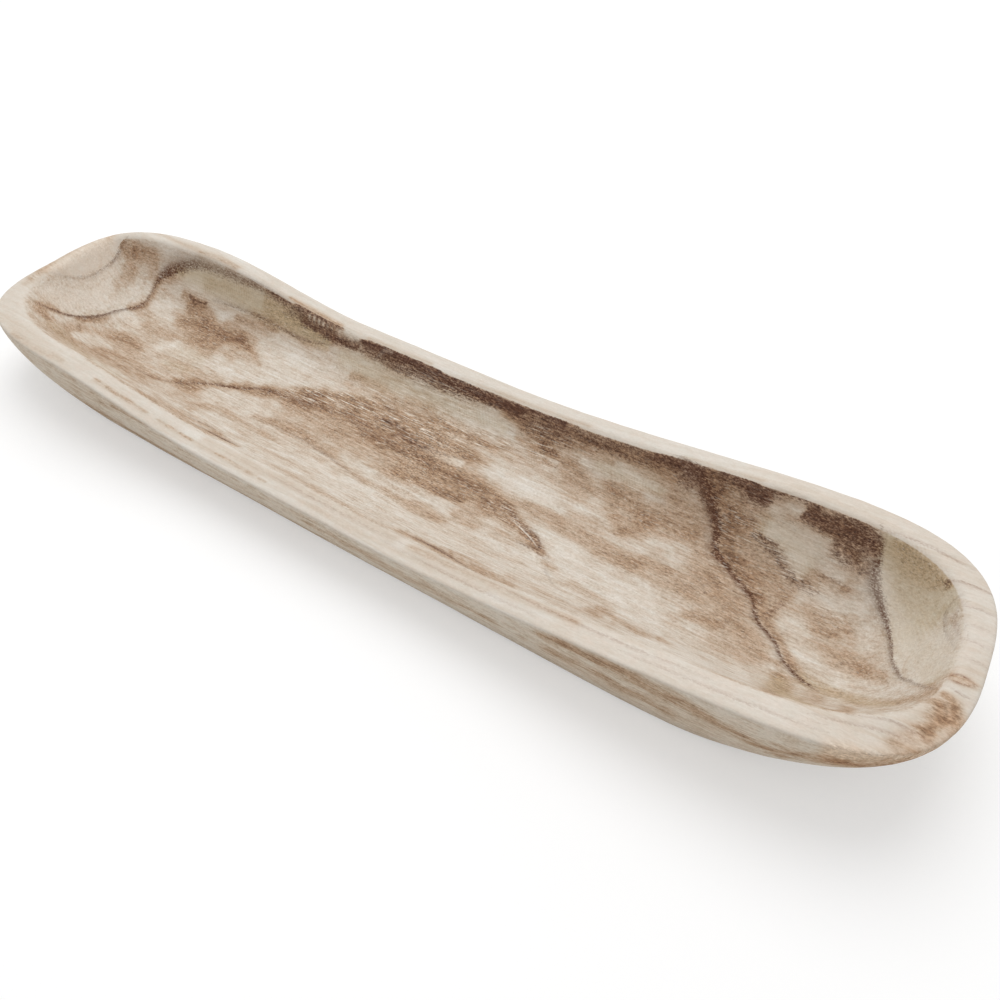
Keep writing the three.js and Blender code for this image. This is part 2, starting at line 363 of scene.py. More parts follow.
# Clouds are soft patches of one tone: strength, edge, and points along the patch as x, y and
# half width. The higher the edge, the crisper the patch. They are laid out in plan.
HEART_CLOUDS = [
    # washes that lie under the rest of the figure
    (0.18, 3.0, [(-284, -4, 9), (-266, -4, 12), (-235, -6, 10), (-205, -10, 12),
                 (-185, -26, 10)]),
    (0.20, 2.4, [(-280, 14, 5), (-266, 13, 6), (-254, 14, 5)]),
    (0.18, 2.4, [(-198, 28, 5), (-184, 28, 5), (-176, 26, 4)]),
    (0.16, 2.2, [(-302, -10, 4), (-299, -18, 4)]),
    (0.35, 2.0, [(-275, -28, 3), (-271, -35, 3.4)]),
    (0.16, 2.2, [(-176, -28, 5), (-166, -34, 6), (-156, -36, 5)]),
    (0.16, 2.2, [(-208, -48, 4), (-201, -58, 4)]),
    (0.14, 2.2, [(-134, 4, 4), (-130, -8, 5)]),
    (0.14, 2.2, [(-116, -48, 3), (-90, -46, 3), (-50, -46, 3)]),
    (0.20, 2.2, [(138, -25, 5), (152, -28, 6), (166, -30, 5)]),
    (0.22, 2.2, [(116, -17, 4), (122, -19, 4)]),
    (0.16, 3.0, [(-314, -40, 4), (-294, -44, 6), (-262, -45, 10), (-236, -44, 10),
                 (-212, -42, 6)]),
    (0.20, 3.0, [(-118, -4, 8), (-98, -5, 10), (-75, -4, 12), (-45, -3, 12), (-18, -3, 9)]),
    (0.14, 3.0, [(-110, -27, 5), (-80, -27, 5), (-56, -28, 4)]),
    (0.40, 3.0, [(-98, 25, 8), (-68, 28, 13), (-38, 29, 16), (-5, 31, 16), (20, 31, 11)]),
    (0.40, 3.0, [(-112, 14, 7), (-70, 13, 10), (-25, 11, 11), (20, 9, 11), (54, 9, 8)]),
    (0.18, 3.0, [(44, 50, 7), (75, 49, 8), (106, 49, 9)]),
    (0.28, 3.0, [(118, 52, 7), (138, 48, 9), (160, 48, 12), (182, 48, 12), (194, 44, 8)]),
    (0.30, 3.0, [(202, 28, 12), (213, 13, 17), (232, 1, 14), (250, -8, 8)]),
    (0.38, 3.5, [(84, 16, 6), (110, 14, 7), (140, 12, 8), (170, 12, 8), (202, 13, 9)]),
    (0.16, 3.0, [(50, -14, 7), (75, -13, 6), (92, -13, 4)]),
    (0.18, 3.0, [(262, 34, 10), (284, 22, 12), (300, 8, 9)]),
    # the far end, outside the dark ring
    (0.44, 2.4, [(-331, 52, 3), (-327, 50, 3.4), (-322, 54, 4), (-313, 57, 4), (-304, 58, 3.5)]),
    (0.34, 2.0, [(-321, 52, 4), (-319, 44, 5), (-320, 37, 4)]),
    (0.12, 2.0, [(-311, 51, 4), (-306, 50, 3)]),
    (0.22, 2.0, [(-321, 28, 5), (-317, 20, 5)]),
    (0.16, 2.0, [(-330, 50, 3), (-326, 46, 4), (-325, 42, 3)]),
    # along the inner side of that ring
    (0.45, 2.0, [(-298, 52, 3), (-292, 56, 3.4), (-284, 60, 3), (-276, 62, 2.4)]),
    (0.46, 2.0, [(-299, 50, 3), (-298, 38, 3.2), (-298, 28, 3.6), (-302, 21, 2.8)]),
    (0.16, 2.0, [(-292, 48, 3), (-289, 45, 3)]),
    (0.22, 2.0, [(-290, 26, 5), (-279, 22, 5), (-262, 20, 6), (-245, 20, 5), (-214, 19, 8)]),
    (0.48, 2.2, [(-307, 2, 2.2), (-309, -8, 3.4), (-312, -18, 3)]),
    (0.36, 2.0, [(-318, -28, 4), (-321, -36, 4), (-317, -42, 4), (-309, -43, 4)]),
    (0.36, 2.0, [(-306, -23, 5), (-303, -31, 5), (-300, -36, 4)]),
    (0.36, 2.2, [(-293, -8, 6), (-280, -5, 7), (-267, -6, 6)]),
    (0.20, 2.0, [(-292, -15, 5), (-281, -13, 5), (-268, -17, 6), (-260, -14, 5)]),
    (0.36, 2.0, [(-270, -24, 4), (-267, -32, 5), (-264, -36, 5), (-254, -37, 4)]),
    (0.32, 2.0, [(-262, -27, 6), (-246, -26, 6), (-229, -27, 5), (-216, -30, 4)]),
    (0.18, 2.0, [(-250, -35, 4), (-233, -35, 5), (-218, -36, 4)]),
    # the tan front of the hollow at the far end
    (0.10, 2.5, [(-298, -47, 4), (-284, -46, 6), (-258, -49, 6), (-240, -46, 6)]),
    (0.26, 2.0, [(-296, -50, 4), (-288, -47, 4), (-280, -43, 4)]),
    (0.20, 2.5, [(-306, -53, 3), (-282, -57, 4), (-256, -59, 5), (-236, -60, 4)]),
    (0.26, 2.5, [(-228, -66, 3), (-205, -66, 3), (-178, -65, 4), (-155, -64, 4),
                 (-138, -64, 4), (-118, -64, 3)]),
    (0.20, 2.0, [(-176, -61, 4), (-158, -60, 4), (-140, -58, 3)]),
    (0.14, 2.0, [(-190, -32, 5), (-183, -40, 6), (-168, -36, 5)]),
    # the brown mass under the olive band
    (0.50, 2.6, [(-264, 49, 4), (-252, 44, 7), (-236, 39, 8), (-220, 39, 8), (-209, 40, 6)]),
    (0.40, 2.4, [(-262, 34, 5), (-245, 31, 7), (-228, 28, 7), (-214, 29, 5)]),
    (0.24, 2.0, [(-238, 24, 5), (-222, 22, 6), (-211, 20, 5)]),
    (0.34, 2.0, [(-250, 52, 3.5), (-243, 51, 3.6), (-236, 48, 3)]),
    (0.26, 2.0, [(-243, 42, 4), (-230, 44, 4.5), (-218, 43, 4), (-196, 46, 4), (-188, 45, 3)]),
    (0.40, 2.2, [(-214, 38, 4), (-204, 37, 4.4), (-196, 36, 4)]),
    (0.26, 2.2, [(-236, 36, 4), (-224, 36, 4)]),
    (0.26, 2.2, [(-221, 49, 4), (-208, 47, 4), (-199, 44, 4)]),
    (0.55, 2.2, [(-204, 43, 4), (-196, 41, 4), (-189, 39, 4)]),
    (0.42, 2.2, [(-190, 38, 3.5), (-181, 36, 3.5), (-175, 32, 3), (-168, 29, 2.4)]),
    (0.48, 2.0, [(-273, 53, 3.4), (-262, 52, 4.4), (-252, 52, 3.4)]),
    (0.24, 2.0, [(-268, 42, 4), (-262, 39, 4.4), (-256, 36, 4)]),
    (0.14, 2.0, [(-204, 26, 5), (-192, 22, 5)]),
    (0.36, 2.0, [(-215, 55, 3), (-203, 55, 4), (-190, 56, 4), (-176, 58, 3)]),
    (0.30, 2.0, [(-200, 60.5, 2), (-175, 60.5, 3), (-150, 60, 3), (-127, 60, 2.4)]),
    (0.45, 2.0, [(-190, 66, 3), (-170, 65, 3.5), (-150, 65, 3), (-124, 65.5, 3)]),
    # shade along the long grain line that crosses the floor
    (0.42, 2.2, [(-206, -20, 5), (-197, -21, 7), (-188, -21, 6)]),
    (0.42, 2.2, [(-197, -12, 4), (-187, -10, 4.5), (-177, -5, 4), (-168, -1, 4)]),
    (0.34, 2.2, [(-222, -29, 3.5), (-208, -26, 4)]),
    (0.16, 2.0, [(-196, 1, 4), (-182, 0, 4)]),
    (0.46, 2.2, [(-168, 0, 3.5), (-158, 3, 4.5), (-150, 6, 5.5), (-141, 8, 6)]),
    (0.26, 2.2, [(-162, 8, 4), (-150, 0, 4), (-138, 10, 4), (-126, 8, 4)]),
    (0.56, 2.4, [(-145, 11, 4), (-131, 12.5, 5.5), (-118, 13, 7), (-107, 13, 6)]),
    (0.40, 2.4, [(-130, 18, 4), (-117, 19, 6), (-105, 20, 7), (-92, 20, 6)]),
    (0.55, 2.0, [(-120, 25, 4), (-112, 26, 4.6), (-106, 27, 4)]),
    (0.26, 2.4, [(-164, -31, 4), (-150, -27, 4), (-138, -29, 4), (-118, -30, 4), (-99, -30, 3)]),
    (0.14, 2.0, [(-160, -40, 4), (-158, -47, 4)]),
    # the broad brown band in the middle
    (0.42, 2.4, [(-107, 32, 4), (-94, 33, 5), (-80, 36, 6), (-70, 38, 5)]),
    (0.34, 2.0, [(-96, 33, 2.4), (-83, 31, 3), (-70, 27.5, 2.6)]),
    (0.30, 2.6, [(-76, 22, 5), (-66, 22, 6), (-56, 20, 7), (-42, 16, 6)]),
    (0.40, 2.2, [(-82, 36, 3), (-72, 37, 3.4), (-62, 35, 3)]),
    (0.45, 2.2, [(-52, 14, 4), (-40, 12, 4.6), (-28, 12, 4)]),
    (0.50, 2.6, [(-52, 30, 3), (-46, 31, 4.5), (-38, 30, 5.5), (-28, 28, 5)]),
    (0.62, 2.6, [(-32, 24, 5), (-18, 24, 5.5), (-4, 25, 5), (9, 24.5, 4.6), (17, 24, 3.6)]),
    (0.44, 2.6, [(-34, 18, 4), (-22, 16, 4.6), (-8, 13, 4), (8, 12, 4), (28, 12, 5),
                 (47, 12, 5)]),
    (0.14, 2.4, [(-20, 36, 4), (0, 35, 5), (16, 38, 5)]),
    (0.22, 2.2, [(22, 10, 2.6), (34, 9, 3), (44, 9, 3)]),
    (0.28, 2.2, [(-60, 40, 4), (-42, 40, 5), (-18, 38, 5), (4, 37, 6), (20, 35, 5), (38, 34, 4)]),
    (0.36, 2.0, [(-68, 51, 2), (-60, 51, 3), (-52, 51, 2.4)]),
    (0.16, 2.0, [(-8, -20, 4), (12, -21, 5), (34, -22, 4)]),
    (0.26, 2.0, [(20, -44, 4), (24, -48, 3)]),
    (0.22, 2.0, [(20, 30, 5), (30, 32, 5), (35, 26, 4)]),
    (0.36, 2.4, [(20, 20, 3.5), (31, 19, 4.5), (43, 18, 4.5)]),
    (0.24, 2.0, [(50, 18, 4), (63, 17, 4), (78, 18, 5)]),
    (0.40, 2.4, [(52, 13, 4.5), (62, 11, 5), (74, 10, 5)]),
    (0.45, 2.4, [(56, 2, 4), (66, 0, 5), (80, -2, 5)]),
    (0.18, 2.4, [(-120, 5, 4), (-98, 4, 4), (-60, 3, 4), (-46, 3, 4)]),
    (0.26, 2.4, [(-14, 3, 4), (0, 3, 5), (24, 2, 6), (42, 2, 6), (56, 2, 4)]),
    (0.50, 2.2, [(62, 9, 4), (72, 6, 5), (82, 2, 5), (90, -3, 4.4), (98, -5, 3.4)]),
    (0.60, 2.2, [(90, -3, 3), (96, -6, 3.6), (103, -10, 3.4), (110, -13, 2.6)]),
    (0.50, 2.4, [(-18, -6, 3.5), (0, -5.4, 4.2), (14, -5, 4.5), (28, -4, 5), (41, -3, 4.5)]),
    (0.22, 2.0, [(50, -5, 4), (62, -5, 4)]),
    (0.26, 2.0, [(-14, -12, 4), (-2, -11, 4)]),
    (0.30, 2.4, [(-128, -16, 3.5), (-110, -14, 4.5), (-88, -13, 5), (-70, -15, 4.5),
                 (-54, -17, 4)]),
    (0.20, 2.0, [(-48, -20, 3), (-30, -24, 3), (-10, -25, 3)]),
    (0.34, 2.5, [(-6, -27, 4), (20, -27, 5.5), (42, -27, 5)]),
    (0.16, 2.4, [(48, -18, 5), (64, -18, 4)]),
    # under the dark back edge
    (0.30, 2.0, [(-96, 54, 3), (-80, 54, 3), (-66, 54, 3)]),
    (0.18, 2.0, [(-95, 46, 5), (-72, 46, 5)]),
    (0.30, 2.4, [(-66, 43, 5), (-50, 45, 6), (-30, 48, 7), (-12, 49, 6), (8, 48, 6),
                 (24, 48, 5)]),
    (0.24, 2.0, [(-46, 54, 3), (-22, 54, 3)]),
    (0.30, 2.0, [(-22, 48, 3), (-12, 46, 3)]),
    (0.40, 2.0, [(6, 50, 4), (16, 50, 4.4), (25, 48, 4), (36, 47, 3.5)]),
    (0.16, 2.4, [(34, 47, 6), (50, 45, 5)]),
    (0.46, 2.2, [(28, 66.6, 2), (44, 66, 3.5), (62, 65, 5), (80, 65.5, 4.5), (100, 66.5, 4),
                 (120, 67, 3.5), (140, 67, 3.5), (158, 66, 4)]),
    (0.24, 2.0, [(58, 60, 3), (66, 60, 3)]),
    (0.45, 2.2, [(65, 60, 2), (72, 59, 2.6), (80, 58, 1.8)]),
    (0.36, 2.0, [(46, 58.6, 1.6), (56, 57, 3), (64, 55, 4), (71, 54, 4)]),
    (0.40, 2.0, [(74, 56, 3), (84, 57, 3), (92, 58, 2.4)]),
    (0.28, 2.0, [(90, 53, 4), (100, 53, 4.5), (108, 52, 4)]),
    (0.16, 2.0, [(90, 45, 5), (108, 47, 4)]),
    (0.24, 2.2, [(122, 54, 4), (131, 51, 5), (142, 50, 5), (152, 46, 6)]),
    (0.36, 2.2, [(155, 43, 6), (150, 35, 6), (146, 30, 5)]),
    (0.26, 2.2, [(148, 31, 3), (158, 32, 3)]),
    (0.18, 2.2, [(130, 42, 4), (134, 35, 4)]),
    (0.30, 2.0, [(128, 57, 2.4), (136, 56, 3), (142, 57, 2.4)]),
    (0.26, 2.0, [(160, 50, 4), (172, 47, 5), (184, 48, 4)]),
    (0.22, 2.2, [(162, 60, 4), (172, 56, 7), (184, 53, 7)]),
    (0.30, 2.2, [(134, 38, 4), (139, 34, 5), (142, 30, 4)]),
    (0.36, 2.2, [(200, 56, 4), (200, 49, 4), (206, 42, 4), (213, 37, 4.4), (222, 33, 4)]),
    (0.12, 2.2, [(194, 34, 5), (204, 28, 5), (212, 24, 5)]),
    (0.12, 2.0, [(137, 8, 5), (152, 7, 5), (162, 7, 4)]),
    (0.22, 2.4, [(108, 25, 4), (128, 26, 5), (142, 27, 4)]),
    (0.08, 2.0, [(98, 38, 6), (128, 39, 5)]),
    (0.12, 2.2, [(168, 26, 4), (178, 26, 4)]),
    (0.10, 2.4, [(188, -4, 6), (202, -10, 7)]),
    # the brown haze that follows the first curved line
    (0.60, 2.0, [(178, 69, 4), (192, 65, 5), (202, 56, 5), (208, 47, 5), (216, 41, 5),
                 (227, 35, 4.4), (236, 28, 4)]),
    (0.50, 2.0, [(232, 29, 3), (240, 22, 3.6), (246, 16, 4.4), (253, 10, 4), (261, 3, 3),
                 (268, -5, 3.4), (277, -12, 3.4)]),
    (0.30, 2.0, [(228, 22, 4), (237, 20, 3)]),
    (0.26, 2.2, [(262, -9, 3), (268, -16, 4), (271, -26, 4), (272, -32, 3)]),
    # between the two curved lines
    (0.36, 2.6, [(203, 62, 5), (210, 52, 8), (222, 47, 8), (236, 44, 7)]),
    (0.26, 2.0, [(208, 60, 4), (218, 60, 4)]),
    (0.30, 2.4, [(229, 38, 6), (240, 31, 7), (247, 22, 5)]),
    (0.50, 2.0, [(244, 40, 3.4), (250, 38, 4.4), (254, 42, 3)]),
    (0.18, 2.4, [(208, 32, 7), (216, 22, 8), (225, 12, 8)]),
    (0.14, 2.4, [(222, 6, 6), (238, 0, 6), (250, -4, 5)]),
    (0.36, 2.2, [(206, -7, 4), (215, -5, 4.5), (222, -4, 4)]),
    (0.14, 2.0, [(226, -16, 6), (246, -15, 6)]),
    (0.26, 2.2, [(256, 50, 4), (266, 49, 4), (274, 48, 3)]),
    (0.24, 2.0, [(276, 50, 2.6), (277, 43, 2.6)]),
    (0.20, 2.2, [(266, 36, 6), (276, 33, 6), (283, 30, 5)]),
    (0.30, 2.2, [(274, 24, 4), (281, 25, 4)]),
    (0.20, 2.4, [(262, 12, 5), (276, 12, 5), (291, 13, 5), (301, 9, 5)]),
    (0.22, 2.0, [(299, 8, 5), (308, 6, 4), (312, 1, 3)]),
    # the end wall, and the near front corner of the hollow
    # Painted shade: a brown wash along the top of the end wall, just under the rim at the near
    # back corner. It is partly the wood's tan.
    (0.42, 2.5, [(291, 64, 2.4), (300, 60, 4), (309, 55.5, 4.4), (316, 51, 3.6)]),
    (0.45, 2.5, [(318, 49, 1.8), (322, 47, 1.8)]),
    (0.42, 2.5, [(264, -19, 4), (267, -31, 6), (267, -46, 6.5), (266, -62, 5)]),
    (0.22, 2.5, [(284, -14, 7), (283, -38, 8), (281, -57, 7)]),
    (0.40, 2.2, [(301, -32, 3), (300, -42, 3.5), (297, -52, 4), (290, -59, 3)]),
    (0.26, 2.5, [(292, -14, 5), (307, -19, 7), (320, -22, 6), (332, -24, 5)]),
    (0.24, 2.2, [(329, -14, 3), (331, -20, 4)]),
    (0.36, 2.4, [(238, -66.6, 1.6), (256, -66, 2.4), (270, -66, 2.4), (284, -63, 2)]),
    (0.34, 2.2, [(160, -44, 4), (166, -49, 4.4)]),
    (0.28, 2.2, [(164, -38, 4), (178, -41, 4), (192, -44, 5)]),
    (0.30, 2.0, [(202, -37, 3), (207, -38, 2.6)]),
    # its front edge in the middle
    (0.18, 2.4, [(-62, -60, 3.5), (-30, -63, 5), (0, -65, 5), (32, -66, 5)]),
    (0.36, 2.2, [(40, -62, 4), (56, -61, 4), (72, -63, 5), (86, -64, 5), (102, -62, 6),
                 (118, -63, 5)]),
    (0.20, 2.2, [(66, -55, 3), (84, -53, 4), (97, -54, 3)]),
    (0.26, 2.2, [(-136, -55, 2.5), (-119, -55, 3)]),
    (0.34, 2.2, [(-124, -60, 2.5), (-110, -59.5, 3), (-98, -59.5, 2.5)]),
    (0.10, 2.4, [(112, -50, 6), (140, -54, 6), (156, -54, 5)]),
]
RIM_CLOUDS = [
    # the face of end grain at the far end, which the rim runs into
    (0.24, 2.0, [(-340, 54, 4), (-339, 45, 3)]),
    (0.26, 2.0, [(-348, 40, 4), (-348, 20, 4), (-348, 0, 3), (-345, -24, 4)]),
    (0.20, 2.0, [(-338, 70, 5), (-330, 76, 5)]),
    (0.20, 2.2, [(-318, 73, 3), (-290, 73, 3), (-262, 74, 3), (-222, 74, 3)]),
    (0.18, 2.0, [(-341, -14, 3), (-341, -25, 4), (-341, -32, 3)]),
    # the brown fringe over the back edge
    (0.14, 2.2, [(-262, 71.6, 2), (-240, 72, 2), (-222, 72, 1.6)]),
    (0.30, 2.2, [(-168, 73, 1.6), (-150, 73.4, 2), (-118, 73, 1.8)]),
    (0.22, 2.2, [(-92, 72.6, 1.6), (-50, 73, 1.8), (-36, 73, 1.6)]),
    (0.24, 2.2, [(22, 73, 1.6), (60, 73.2, 1.8), (94, 73, 1.6)]),
    (0.16, 2.2, [(160, 73, 1.6), (210, 72.4, 1.6)]),
    # the front
    (0.16, 2.2, [(-294, -78, 3), (-264, -79.5, 3), (-238, -78, 2)]),
    (0.22, 2.2, [(-208, -77.6, 1.6), (-178, -77.6, 1.8), (-160, -77.4, 1.4)]),
    (0.16, 2.2, [(-144, -77, 1.6), (-90, -77.4, 1.8), (-62, -77.4, 1.6)]),
    (0.18, 2.4, [(-112, -71, 4), (-56, -71, 4), (0, -71, 4), (42, -71, 4)]),
    (0.08, 2.4, [(-320, -68, 6), (-280, -74, 7), (-220, -76, 7), (-140, -76, 7)]),
    (0.24, 2.4, [(56, -71, 4), (84, -71, 4.4), (125, -71.5, 4), (165, -72, 2.5)]),
    (0.12, 2.4, [(-20, -78, 2), (40, -78, 2), (110, -77, 2)]),
    # the near end: the knot, and the brown patch on the front corner
    (0.30, 2.0, [(334, -8, 2), (336, -11.5, 2.6), (341, -11.5, 2.6), (345, -11.5, 2)]),
    (0.55, 2.0, [(335, -23.6, 2), (340, -26.4, 3), (341, -33, 4), (338, -38, 3.4)]),
    (0.45, 2.0, [(334, -31, 3), (335, -41, 3.6), (333, -49, 3)]),
    (0.24, 2.0, [(331, -28, 5), (331, -40, 6), (328, -52, 6), (320, -63, 4)]),
    (0.24, 2.0, [(344, -36, 3), (342, -48, 3), (336, -58, 3), (326, -66, 3)]),
]
DARK_CLOUDS = [
    (0.28, 2.4, [(-232, 69, 1.2), (-205, 69.6, 1.4), (-186, 70, 1.6), (-168, 70, 2)]),
    (0.34, 2.2, [(-172, 66.4, 1.6), (-158, 66.6, 2.2), (-148, 66.6, 2)]),
    (0.55, 2.2, [(-182, 69.6, 1.2), (-168, 69.4, 1.6), (-152, 69, 2.4), (-134, 69, 2.6),
                 (-122, 69, 2)]),
    (0.70, 2.2, [(-162, 71, 1.2), (-150, 71, 1.5), (-134, 71, 1.5), (-116, 71, 1.5)]),
    (0.80, 2.2, [(-152, 66.6, 1.6), (-134, 66.4, 2), (-116, 66, 1.9), (-100, 66.8, 2)]),
    (0.92, 2.4, [(-97, 69.4, 1.6), (-85, 69.4, 2.6), (-50, 69.8, 3.3), (-12, 69, 3),
                 (12, 68.8, 2.8), (28, 68.8, 2.6), (42, 69.4, 2.4)]),
    (0.80, 2.4, [(42, 69.8, 2.4), (60, 70.8, 2.4), (76, 70, 2.4)]),
    (0.52, 2.0, [(-96, 66.4, 2), (-72, 66, 2.6), (-30, 66, 2.8), (-8, 65.6, 2.8),
                 (20, 65.6, 2.2)]),
    (0.56, 2.0, [(34, 67, 1.4), (48, 66.4, 2.4), (66, 67, 3.4), (84, 68.4, 3.2),
                 (104, 68.6, 2.8), (128, 68.8, 3), (150, 69.4, 3.2), (170, 70, 3)]),
    (0.30, 2.0, [(48, 62.6, 1.6), (60, 63, 2.6), (72, 63, 3), (86, 64, 2)]),
    (0.50, 3.0, [(144, 69, 1.8), (159, 69.4, 1.8)]),
    (0.40, 2.4, [(62, 59.6, 1.6), (70, 59, 2), (79, 58, 1.4)]),
    (0.36, 2.4, [(72, 52.2, 1.0), (88, 52, 1.0)]),
    (0.50, 2.2, [(160, 69, 2.4), (172, 67, 3), (183, 63, 3), (192, 58, 2.6), (197, 52, 2)]),
    (0.45, 2.2, [(170, 71, 3), (182, 70, 3), (190, 66.5, 3)]),
    (0.85, 2.2, [(188, 71.4, 2), (198, 70.4, 2.6), (208, 68.6, 3), (217, 68, 2)]),
    (0.20, 2.2, [(214, 65, 2.2), (228, 64.4, 2), (242, 65, 2)]),
    (0.60, 2.4, [(214, 68.8, 1.4), (230, 69.8, 1.3), (246, 68.8, 1.5)]),
    (0.30, 2.2, [(197, 63, 3), (208, 62, 3), (216, 61, 2.4)]),
    (0.80, 2.2, [(240, 67, 1.4), (254, 66.4, 2.6), (266, 66, 3), (277, 64, 3), (284, 62, 2)]),
    (0.45, 2.0, [(262, 62, 2.6), (274, 60, 3), (283, 56, 2.6)]),
    (0.30, 2.0, [(264, 60.4, 2.6), (274, 58, 3)]),
    (0.40, 3.0, [(221, 58.5, 1.0), (232, 57.5, 1.0)]),
    (0.42, 2.0, [(218, 58, 2), (228, 56, 2.8), (240, 51.6, 3), (250, 46.6, 3.4), (262, 45, 3)]),
    (0.34, 3.0, [(261, 52.6, 1.0), (271, 51.6, 1.0), (280, 49.6, 1.0)]),
    (0.50, 2.5, [(320, 49, 1.5), (321, 46.5, 1.5)]),
    (0.60, 2.5, [(-268, 54, 1.0), (-262, 52.7, 1.9), (-256, 53.2, 1.5), (-249, 55, 0.9)]),
    (0.36, 2.2, [(-246, 44, 2), (-232, 43, 2.5), (-217, 42, 2.2)]),
    (0.34, 2.2, [(-222, 38, 2), (-218, 34, 2.5)]),
    (0.38, 2.0, [(-206, 43, 3), (-196, 42, 3)]),
    (0.40, 2.0, [(-113, 26, 2), (-109, 25, 3.2), (-105, 21, 2.4)]),
    (0.24, 2.0, [(-120, 13, 2.4), (-108, 16, 3), (-98, 18, 2.6)]),
    (0.34, 2.0, [(-58, 31, 2), (-44, 31, 3), (-30, 30, 2.5)]),
    (0.45, 2.0, [(-32, 25, 2), (-18, 24, 3)]),
    (0.55, 2.2, [(-14, 24, 2.6), (0, 23.6, 3.2), (14, 23.4, 3)]),
    (0.30, 2.0, [(-119, 25, 2.4), (-112, 22.4, 2.4)]),
    (0.24, 2.0, [(-44, 14, 2.4), (-33, 12.4, 2.4)]),
    (0.20, 2.0, [(-82, 23, 2), (-66, 20, 2.4), (-56, 18, 2)]),
    (0.24, 2.0, [(-4, 12, 2), (12, 11.6, 2.2), (34, 12, 2)]),
    (0.34, 2.0, [(20, -6, 2.5), (40, -5, 2.5)]),
    (0.50, 2.0, [(88, -1.4, 1.8), (95, -4.4, 2.2), (102, -8.4, 2), (108, -11, 1.8)]),
    (0.30, 2.0, [(250, 37, 2.4), (246, 17, 2.4)]),
    (0.40, 2.0, [(163, 65.5, 2.4), (169, 65, 2)]),
]
OLIVE_CLOUDS = [
    (0.85, 2.6, [(-284, 61, 2), (-268, 63, 4), (-240, 64, 5), (-200, 64.5, 5), (-160, 64, 5),
                 (-128, 63, 3)]),
    (0.50, 2.0, [(-110, 60, 5), (-70, 59, 7), (-30, 60, 6), (8, 61, 5), (36, 60, 3)]),
    (0.70, 2.4, [(287, 62, 3), (298, 55, 6), (308, 46, 8), (317, 34, 9)]),
    (0.70, 3.0, [(286, 65, 3), (298, 61, 5), (309, 56, 6), (318, 48, 6), (325, 38, 5)]),
    (0.45, 2.4, [(317, 30, 9), (323, 18, 9), (328, 4, 7), (330, -8, 4)]),
    (0.40, 2.0, [(108, 61, 2.5), (132, 61, 3), (154, 60.5, 2)]),
    (0.50, 2.0, [(222, 61, 4), (240, 59, 4), (252, 56, 5)]),
    (0.55, 2.0, [(266, -22, 5), (270, -40, 9), (280, -56, 8)]),
    (0.45, 2.0, [(278, -12, 5), (300, -16, 6), (316, -24, 5)]),
    (0.25, 2.0, [(-300, -44, 6), (-260, -56, 6), (-210, -60, 5)]),
    (0.25, 2.0, [(-232, 9, 6), (-216, 9, 6)]),
    (0.25, 2.0, [(-232, -8, 5), (-212, -6, 5)]),
]
